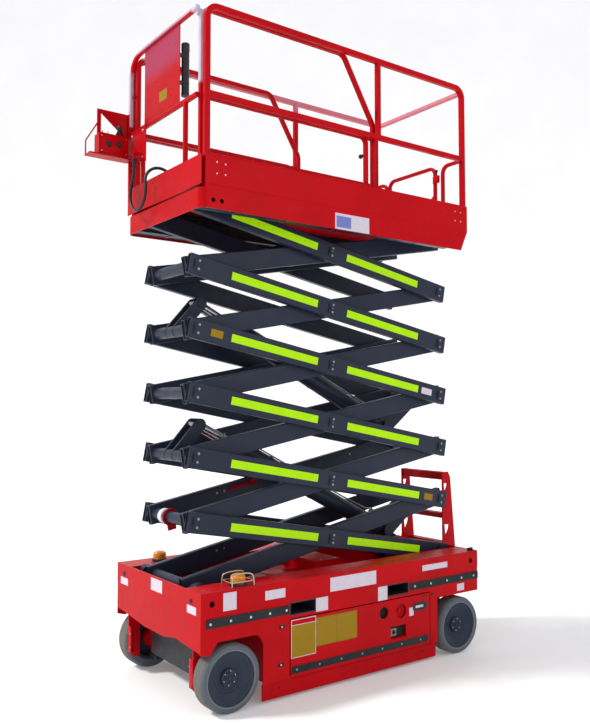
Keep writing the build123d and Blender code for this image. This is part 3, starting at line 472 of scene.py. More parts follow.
for n in range(1, 7):
    mo, mi_ = arm_matrix(n, False), arm_matrix(n, True)
    for side in (-1, 1):
        tag = "near" if side < 0 else "far"
        bm = bmesh.new()
        for xa, xb in ((-0.834, -0.122), (0.147, 0.863)):
            lo = (xa, side * 0.3170, -0.026)
            hi = (xb, side * 0.3180, 0.026)
            add_box(bm, lo, hi, 0.0004)
        bmesh.ops.transform(bm, matrix=mo, verts=bm.verts)
        finish_mesh(f"stripe_{n}_{tag}", bm, LIME, f"outer_{n}", smooth=False)
        # pin plates: raised pin face and two bolts on each plate
        bm = bmesh.new()
        xs = [-ARM_L / 2, 0.0] + ([ARM_L / 2] if n > 1 else [])
        for x in xs:
            p = Vector((x, side * 0.3235, 0))
            if n == 6 and x < 0:
                continue
            add_disc(bm, p, (0, side, 0), [(0, 0), (0.0195, 0), (0.0195, 0.0035), (0.0175, 0.005), (0.006, 0.005), (0.0045, 0.0035), (0, 0.0035)], 28, 0)
            for dz in (-0.0265, 0.0265):
                add_bolt(bm, Vector((x + 0.011, side * 0.3235, dz)), (0, side, 0), 0.0060, 1)
            add_box(bm, (x - 0.024, side * 0.3165, -0.034), (x + 0.024, side * 0.3188, 0.034), 0.001, 0)
        # a grease nipple by the middle pin
        add_disc(bm, Vector((0.0, side * 0.3285, 0)), (0, side, 0), [(0.004, 0), (0.004, 0.004), (0.0022, 0.006), (0.003, 0.009), (0, 0.010)], 10, 1)
        bmesh.ops.transform(bm, matrix=mo, verts=bm.verts)
        finish_mesh(f"pin_plates_{n}_{tag}", bm, [NAVY, BOLT], f"outer_{n}")
    # dark closing plates set back in the open tube ends
    for nm_, ya, yb, mm in (("outer", 0.272, 0.312, mo), ("inner", 0.216, 0.256, mi_)):
        bm = bmesh.new()
        for side in (-1, 1):
            lo_y, hi_y = sorted((side * ya, side * yb))
            for x in (-ARM_L / 2 - 0.040, ARM_L / 2 + (0.046 if nm_ == "inner" and n == 6 else 0.058)):
                add_box(bm, (x - 0.0015, lo_y - 0.001, -0.0610), (x + 0.0015, hi_y + 0.001, 0.0610), 0.0004, 0)
                add_box(bm, (x - 0.004, (lo_y + hi_y) / 2 - 0.002, -0.060), (x + 0.004, (lo_y + hi_y) / 2 + 0.002, 0.060), 0.0005, 0)
        bmesh.ops.transform(bm, matrix=mm, verts=bm.verts)
        finish_mesh(f"tube_caps_{nm_}_{n}", bm, DARK, f"{nm_}_{n}")
    # inner arms: lifting-eye bolts and weld beads at the cross tubes
    bm = bmesh.new()
    for x in (-ARM_L / 2, ARM_L / 2):
        for side in (-1, 1):
            prof = []
            for i in range(9):
                a = math.pi * i / 8
                prof.append((0.038 + 0.0045 * math.sin(a), 0.0045 * math.cos(a)))
            add_disc(bm, Vector((x, side * 0.2090, 0)), (0, side, 0), prof, 28, 0)
    for side in (-1, 1):
        for x in (-0.62, -0.56, 0.62):
            add_bolt(bm, Vector((x, side * 0.2095, 0.02)), (0, -side, 0), 0.006, 1)
    bmesh.ops.transform(bm, matrix=mi_, verts=bm.verts)
    finish_mesh(f"inner_trim_{n}", bm, [NAVY, BOLT], f"inner_{n}")

# safety prop on the second level: dark red bar along the far inner arm, with a red rounded plate and a white roller at the pins
PROP = paint("prop_paint", (0.30, 0.004, 0.010), (0.20, 0.003, 0.008), rough=(0.4, 0.6))
bm = bmesh.new()
add_box(bm, (-0.52, 0.196, 0.012), (-0.30, 0.208, 0.040), 0.003)
add_disc(bm, Vector((-0.31, 0.208, 0.026)), (0, -1, 0), [(0, 0), (0.022, 0), (0.022, 0.012), (0.018, 0.016), (0, 0.016)], 20)
bmesh.ops.transform(bm, matrix=arm_matrix(2, True), verts=bm.verts)
finish_mesh("safety_prop", bm, PROP, "inner_2")
bm = bmesh.new()
add_disc(bm, Vector((-ARM_L / 2, 0.03, 0)), (0, -1, 0), [(0.0385, 0), (0.054, 0), (0.056, 0.003), (0.056, 0.014), (0.054, 0.017), (0.0385, 0.017)], 32, 0)
add_box(bm, (-ARM_L / 2 - 0.030, 0.014, -0.085), (-ARM_L / 2 + 0.030, 0.028, -0.030), 0.004, 0)
add_disc(bm, Vector((-ARM_L / 2, 0.115, 0)), (0, -1, 0), [(0.0385, 0), (0.047, 0.002), (0.049, 0.008), (0.049, 0.042), (0.047, 0.048), (0.0385, 0.050)], 32, 1)
bmesh.ops.transform(bm, matrix=arm_matrix(2, True), verts=bm.verts)
finish_mesh("prop_plate", bm, [PROP, plastic("white_roller", (0.72, 0.72, 0.78), 0.35)], "inner_2")

# small plain plates on two arms
for nm, n, xa, xb, m in (("arm_label_a", 4, -0.99, -0.90, YELLOW_L), ("arm_label_b", 4, 0.90, 1.01, WHITE_L), ("arm_label_c", 2, 0.92, 1.01, YELLOW_L)):
    bm = bmesh.new()
    add_box(bm, (xa, -0.3176, -0.024), (xb, -0.3170, 0.024), 0.0002)
    bmesh.ops.transform(bm, matrix=arm_matrix(n, False), verts=bm.verts)
    finish_mesh(nm, bm, m, f"outer_{n}", smooth=False)


# cylinder trim: gland nut, port block, clamps and hard lines
def in_arm(n, p):
    c, s = math.cos(TH), math.sin(TH)
    return Vector((p[0] * c - p[1] * s + NX, 0, Z0 + (n - 0.5) * RISE + p[0] * s + p[1] * c))


for nm, lo_, hi_ in (("lower", 1, 3), ("upper", 3, 5)):
    p, q = in_arm(lo_, (0.729, -0.179)), in_arm(hi_, (-0.886, 0.159))
    ax = (q - p).normalized()
    up = ax.cross(Vector((0, 1, 0))).normalized()
    if up.z < 0:
        up = -up
    bm = bmesh.new()
    add_disc(bm, p + ax * 1.425, ax, [(0.040, 0.0), (0.0625, 0.0), (0.0625, 0.020), (0.056, 0.026), (0.0375, 0.026), (0.0358, 0.020), (0.0358, 0.0)], 32, 0)
    for d in (0.30, 0.75, 1.20):
        add_disc(bm, p + ax * d, ax, [(0.0615, 0), (0.0645, 0.002), (0.0645, 0.020), (0.0615, 0.022)], 32, 1)
    m3 = Matrix((ax, Vector((0, 1, 0)), up)).transposed().to_4x4()
    m3.translation = p
    add_box(bm, (0.075, -0.030, 0.052), (0.165, 0.030, 0.098), 0.005, 0, m3)
    finish_mesh(f"cylinder_trim_{nm}", bm, [DARK, NAVY], f"cylinder_{nm}_barrel")
    line = [p + ax * 0.14 + up * 0.095, p + ax * 0.17 + up * 0.110, p + ax * 0.22 + up * 0.076, p + ax * 0.6 + up * 0.072, p + ax * 1.2 + up * 0.072, p + ax * 1.37 + up * 0.073, p + ax * 1.395 + up * 0.064]
    wire(f"cylinder_line_{nm}", line, 0.006, BOLT, f"cylinder_{nm}_barrel")

# ------------------------------------------------------------------ chassis trim
def bolts(name, pts, axis, r, body, m=None, washer=True):
    bm = bmesh.new()
    for p in pts:
        add_bolt(bm, V(*p), axis, r, 0, washer)
    return finish_mesh(name, bm, m or STEEL, body)


for side in (-1, 1):
    tag = "near" if side < 0 else "far"
    body = "tray_left" if side < 0 else "tray_right"
    ys = side * 0.590
    # bolts sunk in the rubber strips: their heads stand within the strip's face
    bm = bmesh.new()
    for x in (-1.124, -0.985, -0.844, -0.705, -0.580, 0.530, 0.689, 0.854, 1.008, 1.140):
        p = V(x, side * 0.5896, 0.5450)
        add_disc(bm, p, (0, side, 0), [(0, 0), (0.0078, 0), (0.0078, 0.0012), (0.0062, 0.0022), (0.0040, 0.0022), (0.0034, 0.0012), (0, 0.0012)], 20)
    finish_mesh(f"strip_bolts_{tag}", bm, STEEL, "chassis")
    bm = bmesh.new()
    for x in [-0.50 + 0.18 * i for i in range(7)]:
        add_disc(bm, V(x, side * 0.5894, 0.169), (0, side, 0), [(0, 0), (0.0070, 0), (0.0070, 0.0010), (0.0055, 0.0018), (0, 0.0018)], 18, 1)
    # the door's lower strip is rubber faced
    add_box(bm, tuple(V(-0.541, side * 0.5880, 0.1462)), tuple(V(0.660, side * 0.5896, 0.1918)), 0.0003, 0)
    finish_mesh(f"door_strip_{tag}", bm, [BLACK_RUBBER, BOLT], body)
    # paddle latch in an oval black bezel
    bm = bmesh.new()
    c = V(0.583, side * 0.584, 0.400)
    def oval(w, h, k=14):
        pts = []
        for i in range(4 * k):
            a = 2 * math.pi * i / (4 * k)
            cx, sx = math.cos(a), math.sin(a)
            pts.append((w * (abs(cx) ** 0.45) * (1 if cx >= 0 else -1), h * (abs(sx) ** 0.45) * (1 if sx >= 0 else -1)))
        return pts
    rings = []
    for w, h, d in ((0.070, 0.028, 0.0), (0.070, 0.028, 0.0035), (0.066, 0.024, 0.0048), (0.058, 0.017, 0.0048), (0.054, 0.013, 0.0010), (0.0, 0.0, 0.0010)):
        rings.append([bm.verts.new(c + Vector((px, side * d, pz))) for px, pz in oval(w, h)])
    for a, b in zip(rings, rings[1:]):
        for i in range(len(a)):
            j = (i + 1) % len(a)
            bm.faces.new((a[i], b[i], b[j], a[j]))
    add_box(bm, tuple(c + Vector((-0.046, side * 0.0012, -0.009))), tuple(c + Vector((0.030, side * 0.0040, 0.009))), 0.0015, 1)
    finish_mesh(f"latch_{tag}", bm, [BLACK, STEEL], body)
    # recessed hinges, vent louvre, round socket and switch behind the door's cut-outs
    bm = bmesh.new()
    for hx, hz in ((-0.611, 0.448), (-0.618, 0.218)):
        add_box(bm, tuple(V(hx - 0.024, side * 0.5835, hz - 0.011)), tuple(V(hx + 0.024, side * 0.5846, hz + 0.011)), 0.0004, 0)
        add_disc(bm, V(hx, side * 0.5845, hz), (0, side, 0), [(0, 0), (0.006, 0), (0.006, 0.002), (0, 0.002)], 12, 1)
    finish_mesh(f"hinge_pads_{tag}", bm, [HOLE, STEEL], "chassis")
    bm = bmesh.new()
    add_disc(bm, V(0.240, side * 0.553, 0.403), (0, side, 0), [(0, 0), (0.052, 0), (0.052, 0.006), (0.044, 0.008), (0.036, 0.004), (0, 0.004)], 32, 0)
    add_disc(bm, V(0.399, side * 0.553, 0.393), (0, side, 0), [(0, 0), (0.060, 0), (0.060, 0.010), (0.050, 0.013), (0.040, 0.006), (0.018, 0.006), (0.016, 0.014), (0, 0.014)], 32, 1)
    add_box(bm, tuple(V(0.306, side * 0.553, 0.214)), tuple(V(0.444, side * 0.556, 0.295)), 0.001, 0)
    add_box(bm, tuple(V(0.315, side * 0.556, 0.228)), tuple(V(0.368, side * 0.570, 0.280)), 0.003, 2)
    add_disc(bm, V(0.341, side * 0.569, 0.254), (0, side, 0), [(0.014, 0), (0.014, 0.006), (0.010, 0.008), (0, 0.008)], 20, 0)
    finish_mesh(f"door_fittings_{tag}", bm, [HOLE, RED_LOW, plastic(f"grey_switch_{tag}", (0.22, 0.22, 0.22), 0.5)], body)
    bm = bmesh.new()
    add_box(bm, tuple(V(0.600, side * 0.5838, 0.465)), tuple(V(0.650, side * 0.5850, 0.471)), 0.0005, 0)
    add_disc(bm, V(0.704, side * 0.584, 0.467), (0, side, 0), [(0, 0), (0.008, 0), (0.008, 0.003), (0.005, 0.005), (0, 0.005)], 16, 0)
    finish_mesh(f"door_marks_{tag}", bm, [HOLE], "chassis")
    # blank plates
    plates = [("w", -0.345, -0.247, 0.499, 0.585, 0.584, WHITE_L, "chassis"), ("w", 0.187, 0.272, 0.490, 0.583, 0.584, WHITE_L, "chassis"),
              ("w", -0.23, 0.168, 0.610, 0.700, 0.587, WHITE_L, "chassis"), ("w", -0.739, -0.588, 0.628, 0.684, 0.587, WHITE_L, "chassis"),
              ("w", -1.037, -0.945, 0.607, 0.712, 0.587, WHITE_L, "chassis"), ("w", 0.607, 0.861, 0.640, 0.680, 0.587, WHITE_L, "chassis"),
              ("w", 0.966, 1.040, 0.452, 0.503, 0.584, WHITE_L, "chassis"), ("w", 0.478, 0.520, 0.345, 0.402, 0.584, WHITE_L, body),
              ("b", -0.541, -0.346, 0.240, 0.477, 0.584, WHITE_L, body), ("r", -0.536, -0.351, 0.444, 0.472, 0.5845, RED_LOW, body),
              ("y", -0.537, -0.350, 0.244, 0.440, 0.5845, YELLOW_L, body), ("b", -0.345, -0.001, 0.281, 0.462, 0.584, YELLOW_B, body),
              ("y", -0.343, -0.176, 0.284, 0.459, 0.5845, YELLOW_L, body), ("y", -0.172, -0.004, 0.284, 0.459, 0.5845, YELLOW_L, body)]
    for k, (kind, xa, xb, za, zb, yy, m, bd) in enumerate(plates):
        bm = bmesh.new()
        add_box(bm, tuple(V(xa, side * yy, za)), tuple(V(xb, side * (yy + 0.0007), zb)), 0.0002)
        finish_mesh(f"plate_{tag}_{k}", bm, m, bd, smooth=False)
    # red lining of the tie-down holes and pothole guard links
    bm = bmesh.new()
    for hx in (-1.112, 1.112):
        add_disc(bm, V(hx, side * 0.5765, 0.658), (0, side, 0), [(0.024, 0), (0.0178, 0), (0.0178, 0.0100), (0.0195, 0.0112), (0.022, 0.0112), (0.024, 0.0105)], 28)
    finish_mesh(f"tie_down_rims_{tag}", bm, RED_LOW, "chassis")
    bm = bmesh.new()
    for gx in (-0.62, 0.0, 0.62):
        add_bolt(bm, V(gx, side * 0.568, 0.075), (0, side, 0), 0.0055, 0)
    finish_mesh(f"guard_bolts_{tag}", bm, DARK, f"guard_{'left' if side < 0 else 'right'}")

# front face plates and round holes
bm = bmesh.new()
for ya, yb, za, zb in ((-0.094, 0.063, 0.636, 0.714), (-0.53, -0.42, 0.592, 0.639), (0.413, 0.529, 0.593, 0.640)):
    add_box(bm, tuple(V(-1.1882, ya, za)), tuple(V(-1.1875, yb, zb)), 0.0002)
finish_mesh("front_plates", bm, WHITE_L, "chassis", smooth=False)
bm = bmesh.new()
for yy in (-0.469, 0.469):
    add_disc(bm, V(-1.1875, yy, 0.667), (-1, 0, 0), [(0, -0.001), (0.017, -0.001), (0.017, 0.0004), (0, 0.0004)], 24, 0)
    add_disc(bm, V(-1.1875, yy, 0.667), (-1, 0, 0), [(0.0175, -0.001), (0.0175, 0.001), (0.021, 0.0018), (0.024, 0.0010), (0.024, -0.001)], 28, 1)
finish_mesh("front_holes", bm, [HOLE, RED_LOW], "chassis")

# beacons: dark bases, lens ribs and a wire guard on the near one
for nm, bx, by_ in (("near", -0.885, -0.505), ("far", -0.930, 0.458)):
    bm = bmesh.new()
    add_disc(bm, V(bx, by_, 0.726), (0, 0, 1), [(0.0535, 0.0), (0.0535, 0.014), (0.0515, 0.019), (0.0470, 0.019), (0.0465, 0.010)], 36, 0)
    for k in range(3):
        z = 0.750 + k * 0.009
        add_disc(bm, V(bx, by_, z), (0, 0, 1), [(0.0455, 0), (0.0475, 0.002), (0.0475, 0.004), (0.0455, 0.006)], 36, 1)
    finish_mesh(f"beacon_base_{nm}", bm, [BLACK, AMBER], "chassis")
gx, gy = -0.885, -0.505
for k, dy in enumerate((-0.060, 0.060)):
    wire(f"beacon_guard_{k}", [V(gx - 0.078, gy + dy, 0.728), V(gx - 0.078, gy + dy, 0.772), V(gx - 0.070, gy + dy * 0.8, 0.798), V(gx, gy + dy * 0.7, 0.8045), V(gx + 0.070, gy + dy * 0.8, 0.798), V(gx + 0.078, gy + dy, 0.772), V(gx + 0.078, gy + dy, 0.728)], 0.0045, BRASS, "chassis")
wire("beacon_guard_ring", [V(gx - 0.078, gy - 0.060, 0.756), V(gx + 0.078, gy - 0.060, 0.756), V(gx + 0.078, gy + 0.060, 0.756), V(gx - 0.078, gy + 0.060, 0.756)], 0.0035, BRASS, "chassis", cyclic=True, order=2)

# wheels: turned tyre and dished wheel in place of the plain CAD ones
FX, RX = -0.975, 0.980
TYRE_PROF = [((0.140, -0.0500), 1), ((0.1500, -0.0625), 1), ((0.1530, -0.0635), 1), ((0.1840, -0.0635), 1), ((0.1935, -0.0585), 1),
             ((0.2005, -0.0485), 0), ((0.2028, -0.0400), 0), ((0.2030, -0.0200), 0), ((0.2030, 0.0200), 0), ((0.2028, 0.0400), 0),
             ((0.2005, 0.0485), 1), ((0.1945, 0.0580), 1), ((0.1880, 0.0620), 1), ((0.1800, 0.0635), 1), ((0.1725, 0.0635), 1), ((0.1715, 0.0622), 1),
             ((0.1695, 0.0622), 2), ((0.1680, 0.0633), 2), ((0.1650, 0.0628), 2), ((0.1610, 0.0575), 2), ((0.1600, 0.0500), 1), ((0.1400, 0.0480), 1), ((0.1400, -0.0500), 1)]
WHEEL_PROF = [(0.1605, 0.0500), (0.1605, 0.0555), (0.1590, 0.0572), (0.1570, 0.0565), (0.1530, 0.0520), (0.1300, 0.0385), (0.1060, 0.0275),
              (0.0960, 0.0240), (0.0945, 0.0256), (0.0905, 0.0256), (0.0890, 0.0226), (0.0780, 0.0200), (0.0765, 0.0218), (0.0725, 0.0218),
              (0.0710, 0.0185), (0.0560, 0.0170), (0.0540, 0.0330), (0.0520, 0.0355), (0.0470, 0.0360), (0.0455, 0.0335), (0.0380, 0.0335),
              (0.0370, 0.0375), (0.0210, 0.0380), (0.0200, 0.0345), (0.0125, 0.0345), (0.0115, 0.0405), (0.0085, 0.0425), (0, 0.0425)]
WHEEL_BACK = [(0.1405, 0.0490), (0.1405, -0.0520), (0.1370, -0.0560), (0.1300, -0.0540), (0.1260, -0.0400), (0.1240, 0.0080), (0.1100, 0.0060), (0.0450, 0.0045)]
for end, wx in (("front", FX), ("rear", RX)):
    for lr, side in (("left", -1), ("right", 1)):
        body = f"wheel_{end}_{lr}"
        c = V(wx, side * 0.5265, 0.203)
        bm = bmesh.new()
        add_disc(bm, c, (0, side, 0), [q for q, k in TYRE_PROF], 112, [k for q, k in TYRE_PROF])
        # a shallow mould line down the middle of the tread and two at its shoulders
        for d in (-0.044, 0.0, 0.044):
            add_disc(bm, c, (0, side, 0), [(0.2015, d - 0.0012), (0.2030, d - 0.0004), (0.2030, d + 0.0004), (0.2015, d + 0.0012)], 112, 0)
        ob = finish_mesh(f"tyre_{end}_{lr}_turned", bm, [TREAD, TYRE, LIP], body, angle=0.45)
        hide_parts(f"tyre_{end}_{lr}")
        bm = bmesh.new()
        add_disc(bm, c, (0, side, 0), WHEEL_PROF, 96, [0] * 16 + [1] * 12)
        add_disc(bm, c, (0, side, 0), [(0.1605, 0.0500), (0.1405, 0.0490)] + WHEEL_BACK[1:], 96, 0)
        n_nuts = 6
        for i in range(n_nuts):
            a = 2 * math.pi * i / n_nuts + 0.35
            q = c + Vector((math.cos(a) * 0.0415, side * 0.0335, math.sin(a) * 0.0415))
            add_bolt(bm, q, (0, side, 0), 0.0036, 2, False)
        # dark slots round the hub
        for i in range(5):
            a0 = 2 * math.pi * i / 5 + 0.1
            inner, outer = [], []
            for t in range(7):
                a = a0 + t * 0.11
                for rr, lst in ((0.0245, inner), (0.0335, outer)):
                    lst.append(bm.verts.new(c + Vector((math.cos(a) * rr, side * 0.03835, math.sin(a) * rr))))
            for t in range(6):
                f = bm.faces.new((inner[t], inner[t + 1], outer[t + 1], outer[t]))
                f.material_index = 3
        ob = finish_mesh(f"wheel_{end}_{lr}_dish", bm, [RIM, RIM, STEEL, HOLE], body, angle=0.35)
        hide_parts(f"rim_{end}_{lr}")

# red drive covers beside the steered wheels: a curved side plate with a folded front flange
for lr, side in (("left", -1), ("right", 1)):
    bm = bmesh.new()
    outline = [(-1.163, 0.392), (-1.112, 0.366), (-1.090, 0.345), (-1.080, 0.300), (-1.080, 0.110), (-1.088, 0.098), (-1.110, 0.098), (-1.163, 0.138)]
    ya, yb = sorted((side * 0.448, side * 0.456))
    rows = [[bm.verts.new(V(x, y, z)) for x, z in outline] for y in (ya, yb)]
    bm.faces.new(rows[0])
    bm.faces.new(rows[1])
    for k in range(len(outline)):
        m2 = (k + 1) % len(outline)
        bm.faces.new((rows[0][k], rows[0][m2], rows[1][m2], rows[1][k]))
    bmesh.ops.bevel(bm, geom=list(bm.edges), offset=0.0012, segments=1, affect="EDGES")
    ya, yb = sorted((side * 0.408, side * 0.4555))
    add_box(bm, tuple(V(-1.1650, ya, 0.142)), tuple(V(-1.1570, yb, 0.315)), 0.002)
    ya, yb = sorted((side * 0.408, side * 0.4500))
    add_box(bm, tuple(V(-1.1600, ya, 0.142)), tuple(V(-1.1350, yb, 0.150)), 0.002)
    for z in (0.18, 0.27):
        add_bolt(bm, V(-1.1652, side * 0.418, z), (-1, 0, 0), 0.0055, 1)
    finish_mesh(f"drive_cover_{lr}", bm, [RED_LOW, BOLT], f"knuckle_{lr}")

# cover between the arms: a folded lip and screws
bm = bmesh.new()
for x in (-0.52, -0.25, 0.02, 0.15):
    for side in (-1, 1):
        add_bolt(bm, V(x, side * 0.165, 0.640 if x < -0.05 else 0.722), (0, 0, 1), 0.005, 1)
add_box(bm, tuple(V(-0.35, -0.120, 0.6398)), tuple(V(-0.12, 0.120, 0.6435)), 0.0012, 0)
finish_mesh("cover_trim", bm, [RED_LOW, STEEL], "chassis")

# ladder: grip dimples on each rung
bm = bmesh.new()
for z, t in ((1.254, 0.030), (0.942, 0.020), (0.716, 0.020), (0.480, 0.020)):
    for i in range(10):
        for x in (1.216, 1.231, 1.246):
            add_disc(bm, V(x, -0.19 + i * 0.042, z + t), (0, 0, 1), [(0.0055, -0.0005), (0.0050, 0.0012), (0.0030, 0.0016), (0.0018, 0.0002), (0, 0.0002)], 10)
finish_mesh("ladder_grip", bm, RED_LOW, "chassis")

# ------------------------------------------------------------------ platform trim
bm = bmesh.new()
for side in (-1, 1):
    for x, z in ((-1.059, 3.305), (-0.998, 3.300), (-1.058, 3.234), (-0.998, 3.235), (1.05, 3.30), (1.11, 3.30), (1.05, 3.23), (1.11, 3.23)):
        add_disc(bm, V(x, side * 0.525, z), (0, side, 0), [(0, 0), (0.0055, 0), (0.0055, 0.002), (0.004, 0.0035), (0, 0.0035)], 18)
finish_mesh("side_panel_bolts", bm, STEEL, "platform")
# dark clip on the rear corner of the top plate
bm = bmesh.new()
add_box(bm, tuple(V(1.120, -0.580, 0.7258)), tuple(V(1.182, -0.545, 0.7290)), 0.001)
add_box(bm, tuple(V(1.120, -0.548, 0.7270)), tuple(V(1.182, -0.544, 0.7450)), 0.001)
add_disc(bm, V(1.150, -0.565, 0.7288), (0, 0, 1), [(0, 0), (0.009, 0), (0.009, 0.010), (0.006, 0.013), (0, 0.013)], 20)
finish_mesh("corner_clip", bm, DARK, "chassis")
bm = bmesh.new()
for side in (-1, 1):
    # pressed crease along the side panel and the folded edge on its top
    add_box(bm, tuple(V(-1.10, side * 0.5245, 3.158)), tuple(V(1.17, side * 0.5268, 3.166)), 0.0010)
    add_box(bm, tuple(V(-1.135, side * 0.5190, 3.3500)), tuple(V(1.18, side * 0.5275, 3.3575)), 0.0018)
finish_mesh("side_panel_folds", bm, RED, "platform")
for side in (-1, 1):
    tag = "near" if side < 0 else "far"
    bm = bmesh.new()
    add_box(bm, tuple(V(-0.131, side * 0.5250, 3.015)), tuple(V(0.175, side * 0.5257, 3.125)), 0.0002, 0)
    add_box(bm, tuple(V(-0.119, side * 0.5254, 3.029)), tuple(V(0.010, side * 0.5259, 3.107)), 0.0001, 1)
    finish_mesh(f"panel_plate_{tag}", bm, [WHITE_L, BLUE_L], "platform", smooth=False)

# folded slate covers closing the underside outside the roller tracks
bm = bmesh.new()
for side in (-1, 1):
    ya, yb = sorted((side * 0.396, side * 0.517))
    add_box(bm, tuple(V(-1.150, ya, 3.030)), tuple(V(1.050, yb, 3.034)), 0.001)
    ya, yb = sorted((side * 0.396, side * 0.400))
    add_box(bm, tuple(V(-1.150, ya, 3.030)), tuple(V(1.050, yb, 3.120)), 0.001)
    for x in (-0.9, -0.5, -0.1, 0.3, 0.7):
        yc, yd = sorted((side * 0.410, side * 0.505))
        add_box(bm, tuple(V(x, yc, 3.0270)), tuple(V(x + 0.030, yd, 3.0305)), 0.001)
finish_mesh("underside_covers", bm, NAVY, "platform")

# tread pattern of the deck floors
def tread(name, x0, x1, y0, y1, z, body):
    bm = bmesh.new()
    nx, ny = int((x1 - x0) / 0.055), int((y1 - y0) / 0.055)
    for i in range(nx):
        for j in range(ny):
            cx, cy = x0 + (i + 0.5) * 0.055, y0 + (j + 0.5) * 0.055
            a = math.radians(45 if (i + j) % 2 else -45)
            u, w = Vector((math.cos(a), math.sin(a), 0)) * 0.017, Vector((-math.sin(a), math.cos(a), 0)) * 0.0045
            c = V(cx, cy, z)
            top = c + Vector((0, 0, 0.0016))
            ring = [bm.verts.new(c + u), bm.verts.new(c + w), bm.verts.new(c - u), bm.verts.new(c - w)]
            t = bm.verts.new(top)
            for k in range(4):
                bm.faces.new((ring[k], ring[(k + 1) % 4], t))
    finish_mesh(name, bm, FLOORP, body, smooth=False)


tread("deck_tread", 0.31, 1.14, -0.50, 0.50, 3.204, "platform")
tread("extension_tread", -1.10, 0.28, -0.46, 0.46, 3.218, "extension")

# latch pin and gate latch, and the knobs of the slide locks
bm = bmesh.new()
add_box(bm, tuple(V(1.140, -0.270, 3.600)), tuple(V(1.158, -0.205, 3.660)), 0.004, 0)
add_disc(bm, V(1.150, -0.24, 3.660), (0, 0, 1), [(0.007, 0), (0.007, 0.030), (0.012, 0.034), (0.012, 0.044), (0.008, 0.048), (0, 0.048)], 16, 1)
finish_mesh("gate_latch", bm, [RED, BLACK], "gate")
bm = bmesh.new()
for side in (-1, 1):
    add_disc(bm, V(0.20, side * 0.4355, 3.60), (0, -side, 0), [(0, 0), (0.010, 0), (0.010, 0.018), (0.016, 0.022), (0.016, 0.032), (0.011, 0.036), (0, 0.036)], 20)
finish_mesh("slide_lock_knobs", bm, BLACK, "extension")

# document tube: cap, ribs and bands
bm = bmesh.new()
tc = V(-1.114, -0.214, 0)
for z, r in ((3.7985, 0.0262), (4.090, 0.0268)):
    h = 0.030 if z < 4 else 0.0545
    add_disc(bm, Vector((tc.x, tc.y, z)), (0, 0, 1), [(0.0, 0.0), (r - 0.002, 0.0), (r, 0.003), (r, h - 0.006), (r - 0.006, h), (0, h)], 36, 0)
for z in (3.88, 3.95, 4.02):
    add_disc(bm, Vector((tc.x, tc.y, z)), (0, 0, 1), [(0.025, 0), (0.0262, 0.002), (0.0262, 0.008), (0.025, 0.010)], 36, 0)
finish_mesh("document_tube_trim", bm, BLACK, "extension")
# clear label on the board
bm = bmesh.new()
add_box(bm, tuple(V(-1.1618, -0.050, 3.83)), tuple(V(-1.1611, 0.060, 3.90)), 0.0002, 0)
finish_mesh("board_plate_b", bm, YELLOW_L, "extension", smooth=False)

# control box: face screws, emergency button, toggles, joystick boot, screw heads
GUARDM = metal("guard_steel", (0.20, 0.19, 0.20), 0.4)
bm = bmesh.new()
BY = 0.440
add_box(bm, tuple(V(-1.412, BY - 0.0025, 3.556)), tuple(V(-1.218, BY, 3.676)), 0.001, 4)
add_box(bm, tuple(V(-1.400, BY - 0.0035, 3.566)), tuple(V(-1.230, BY - 0.0020, 3.570)), 0.0005, 4)
for x, z in ((-1.353, 3.617), (-1.280, 3.624)):
    add_disc(bm, V(x, BY - 0.002, z), (0, -1, 0), [(0.0, 0), (0.021, 0), (0.021, 0.004), (0.019, 0.006), (0.0155, 0.006), (0.0155, 0.011), (0.013, 0.013), (0, 0.013)], 32, 0)
for x in (-1.404, -1.226):
    for z in (3.564, 3.668):
        add_disc(bm, V(x, BY - 0.0025, z), (0, -1, 0), [(0, 0), (0.0045, 0), (0.0042, 0.0018), (0.002, 0.0022), (0, 0.0022)], 14, 1)
for k, x in enumerate((-1.385, -1.345)):
    add_disc(bm, V(x, 0.478, 3.690), (0, 0, 1), [(0.012, 0), (0.012, 0.003), (0.006, 0.005), (0.004, 0.018), (0.0052, 0.024), (0, 0.026)], 20, 1 if k else 2)
# bellows of the joystick
prof = []
for i in range(5):
    z = 0.0 + i * 0.0075
    r = 0.027 - i * 0.0035
    prof += [(r, z), (r + 0.002, z + 0.003), (r - 0.001, z + 0.006)]
add_disc(bm, V(-1.262, 0.470, 3.700), (0, 0, 1), prof + [(0.0095, 0.038)], 30, 0)
add_disc(bm, V(-1.262, 0.470, 3.733), (0, 0, 1), [(0.0155, 0), (0.0175, 0.006), (0.0178, 0.022), (0.015, 0.032), (0.010, 0.0368), (0, 0.0372)], 30, 0)
finish_mesh("control_box_fittings", bm, [BLACK, STEEL, plastic("red_button", (0.5, 0.01, 0.01), 0.3), HOLE, RED], "extension")
bm = bmesh.new()
for y, z in ((0.27, 3.70), (0.44, 3.70), (0.27, 3.52), (0.44, 3.58)):
    add_bolt(bm, V(-1.1800, y, z), (-1, 0, 0), 0.0065, 0)
add_box(bm, tuple(V(-1.1835, 0.345, 3.500)), tuple(V(-1.1800, 0.385, 3.530)), 0.0004, 1)
finish_mesh("bracket_bolts", bm, [STEEL, HOLE], "extension")


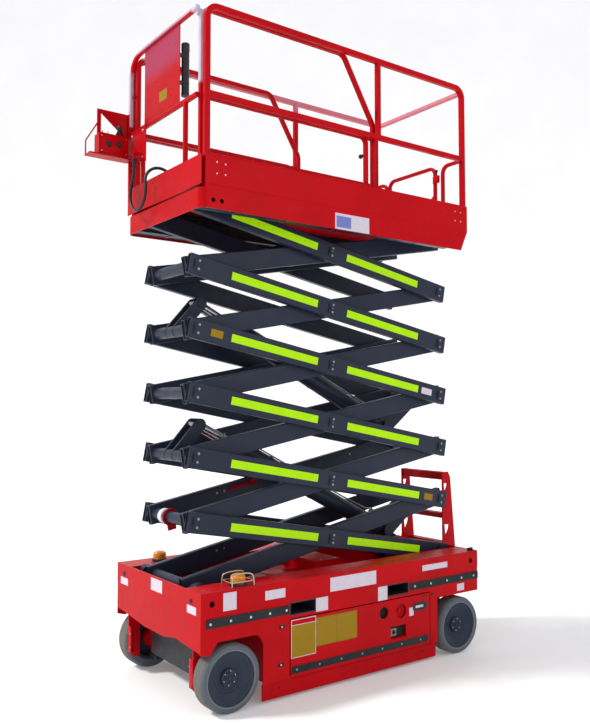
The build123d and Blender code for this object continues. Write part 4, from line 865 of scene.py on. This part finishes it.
# ------------------------------------------------------------------ floor and light
def floor():
    me = bpy.data.meshes.new("floor")
    bm = bmesh.new()
    # a flat floor that turns up into a far wall, all one pale sheet
    yaw = math.radians(53.87)
    f = Vector((math.cos(yaw), math.sin(yaw), 0))
    r = Vector((math.sin(yaw), -math.cos(yaw), 0))
    prof = [(-14, 0)] + [(14 + 6 * math.sin(a), 6 - 6 * math.cos(a)) for a in [i * math.pi / 2 / 16 for i in range(17)]] + [(20, 30)]
    rows = []
    for s in (-40, 40):
        rows.append([bm.verts.new(f * d + r * s + Vector((0, 0, z))) for d, z in prof])
    for i in range(len(prof) - 1):
        bm.faces.new((rows[0][i], rows[0][i + 1], rows[1][i + 1], rows[1][i]))
    bmesh.ops.recalc_face_normals(bm, faces=bm.faces)
    bm.to_mesh(me)
    bm.free()
    for p in me.polygons:
        p.use_smooth = True
    ob = bpy.data.objects.new("floor", me)
    COL.objects.link(ob)
    m, nt, bs = mat("floor_paint")
    co = coords(nt)
    nt.links.new(mix(nt, ramp(nt, noise(nt, co, 0.6, 3), [(0.3, 0.0), (0.7, 1.0)]), (0.86, 0.86, 0.87), (0.82, 0.82, 0.83)), bs.inputs["Base Color"])
    bs.inputs["Roughness"].default_value = 0.85
    bs.inputs["Specular IOR Level"].default_value = 0.1
    bs.inputs["Emission Color"].default_value = (1.0, 1.0, 1.0, 1)
    bs.inputs["Emission Strength"].default_value = 0.14
    me.materials.append(m)


def lights():
    w = bpy.data.worlds.new("world")
    bpy.context.scene.world = w
    w.use_nodes = True
    bg = w.node_tree.nodes["Background"]
    bg.inputs[0].default_value = (0.97, 0.98, 1, 1)
    bg.inputs[1].default_value = 0.72
    sun = bpy.data.lights.new("sun", "SUN")
    sun.energy = 2.6
    sun.angle = math.radians(9)
    sun.color = (1.0, 0.98, 0.95)
    o = bpy.data.objects.new("sun", sun)
    o.rotation_euler = Vector((0.62, -0.30, -0.73)).to_track_quat("-Z", "Y").to_euler()
    COL.objects.link(o)

    def area(name, loc, target, size, power):
        l = bpy.data.lights.new(name, "AREA")
        l.shape = "RECTANGLE"
        l.size, l.size_y = size
        l.energy = power
        o = bpy.data.objects.new(name, l)
        o.location = loc
        o.rotation_euler = (Vector(target) - Vector(loc)).to_track_quat("-Z", "Y").to_euler()
        COL.objects.link(o)
    area("fill", (2.5, -8.0, 4.5), (0, 0, 2.0), (5, 5), 90)


floor()
lights()
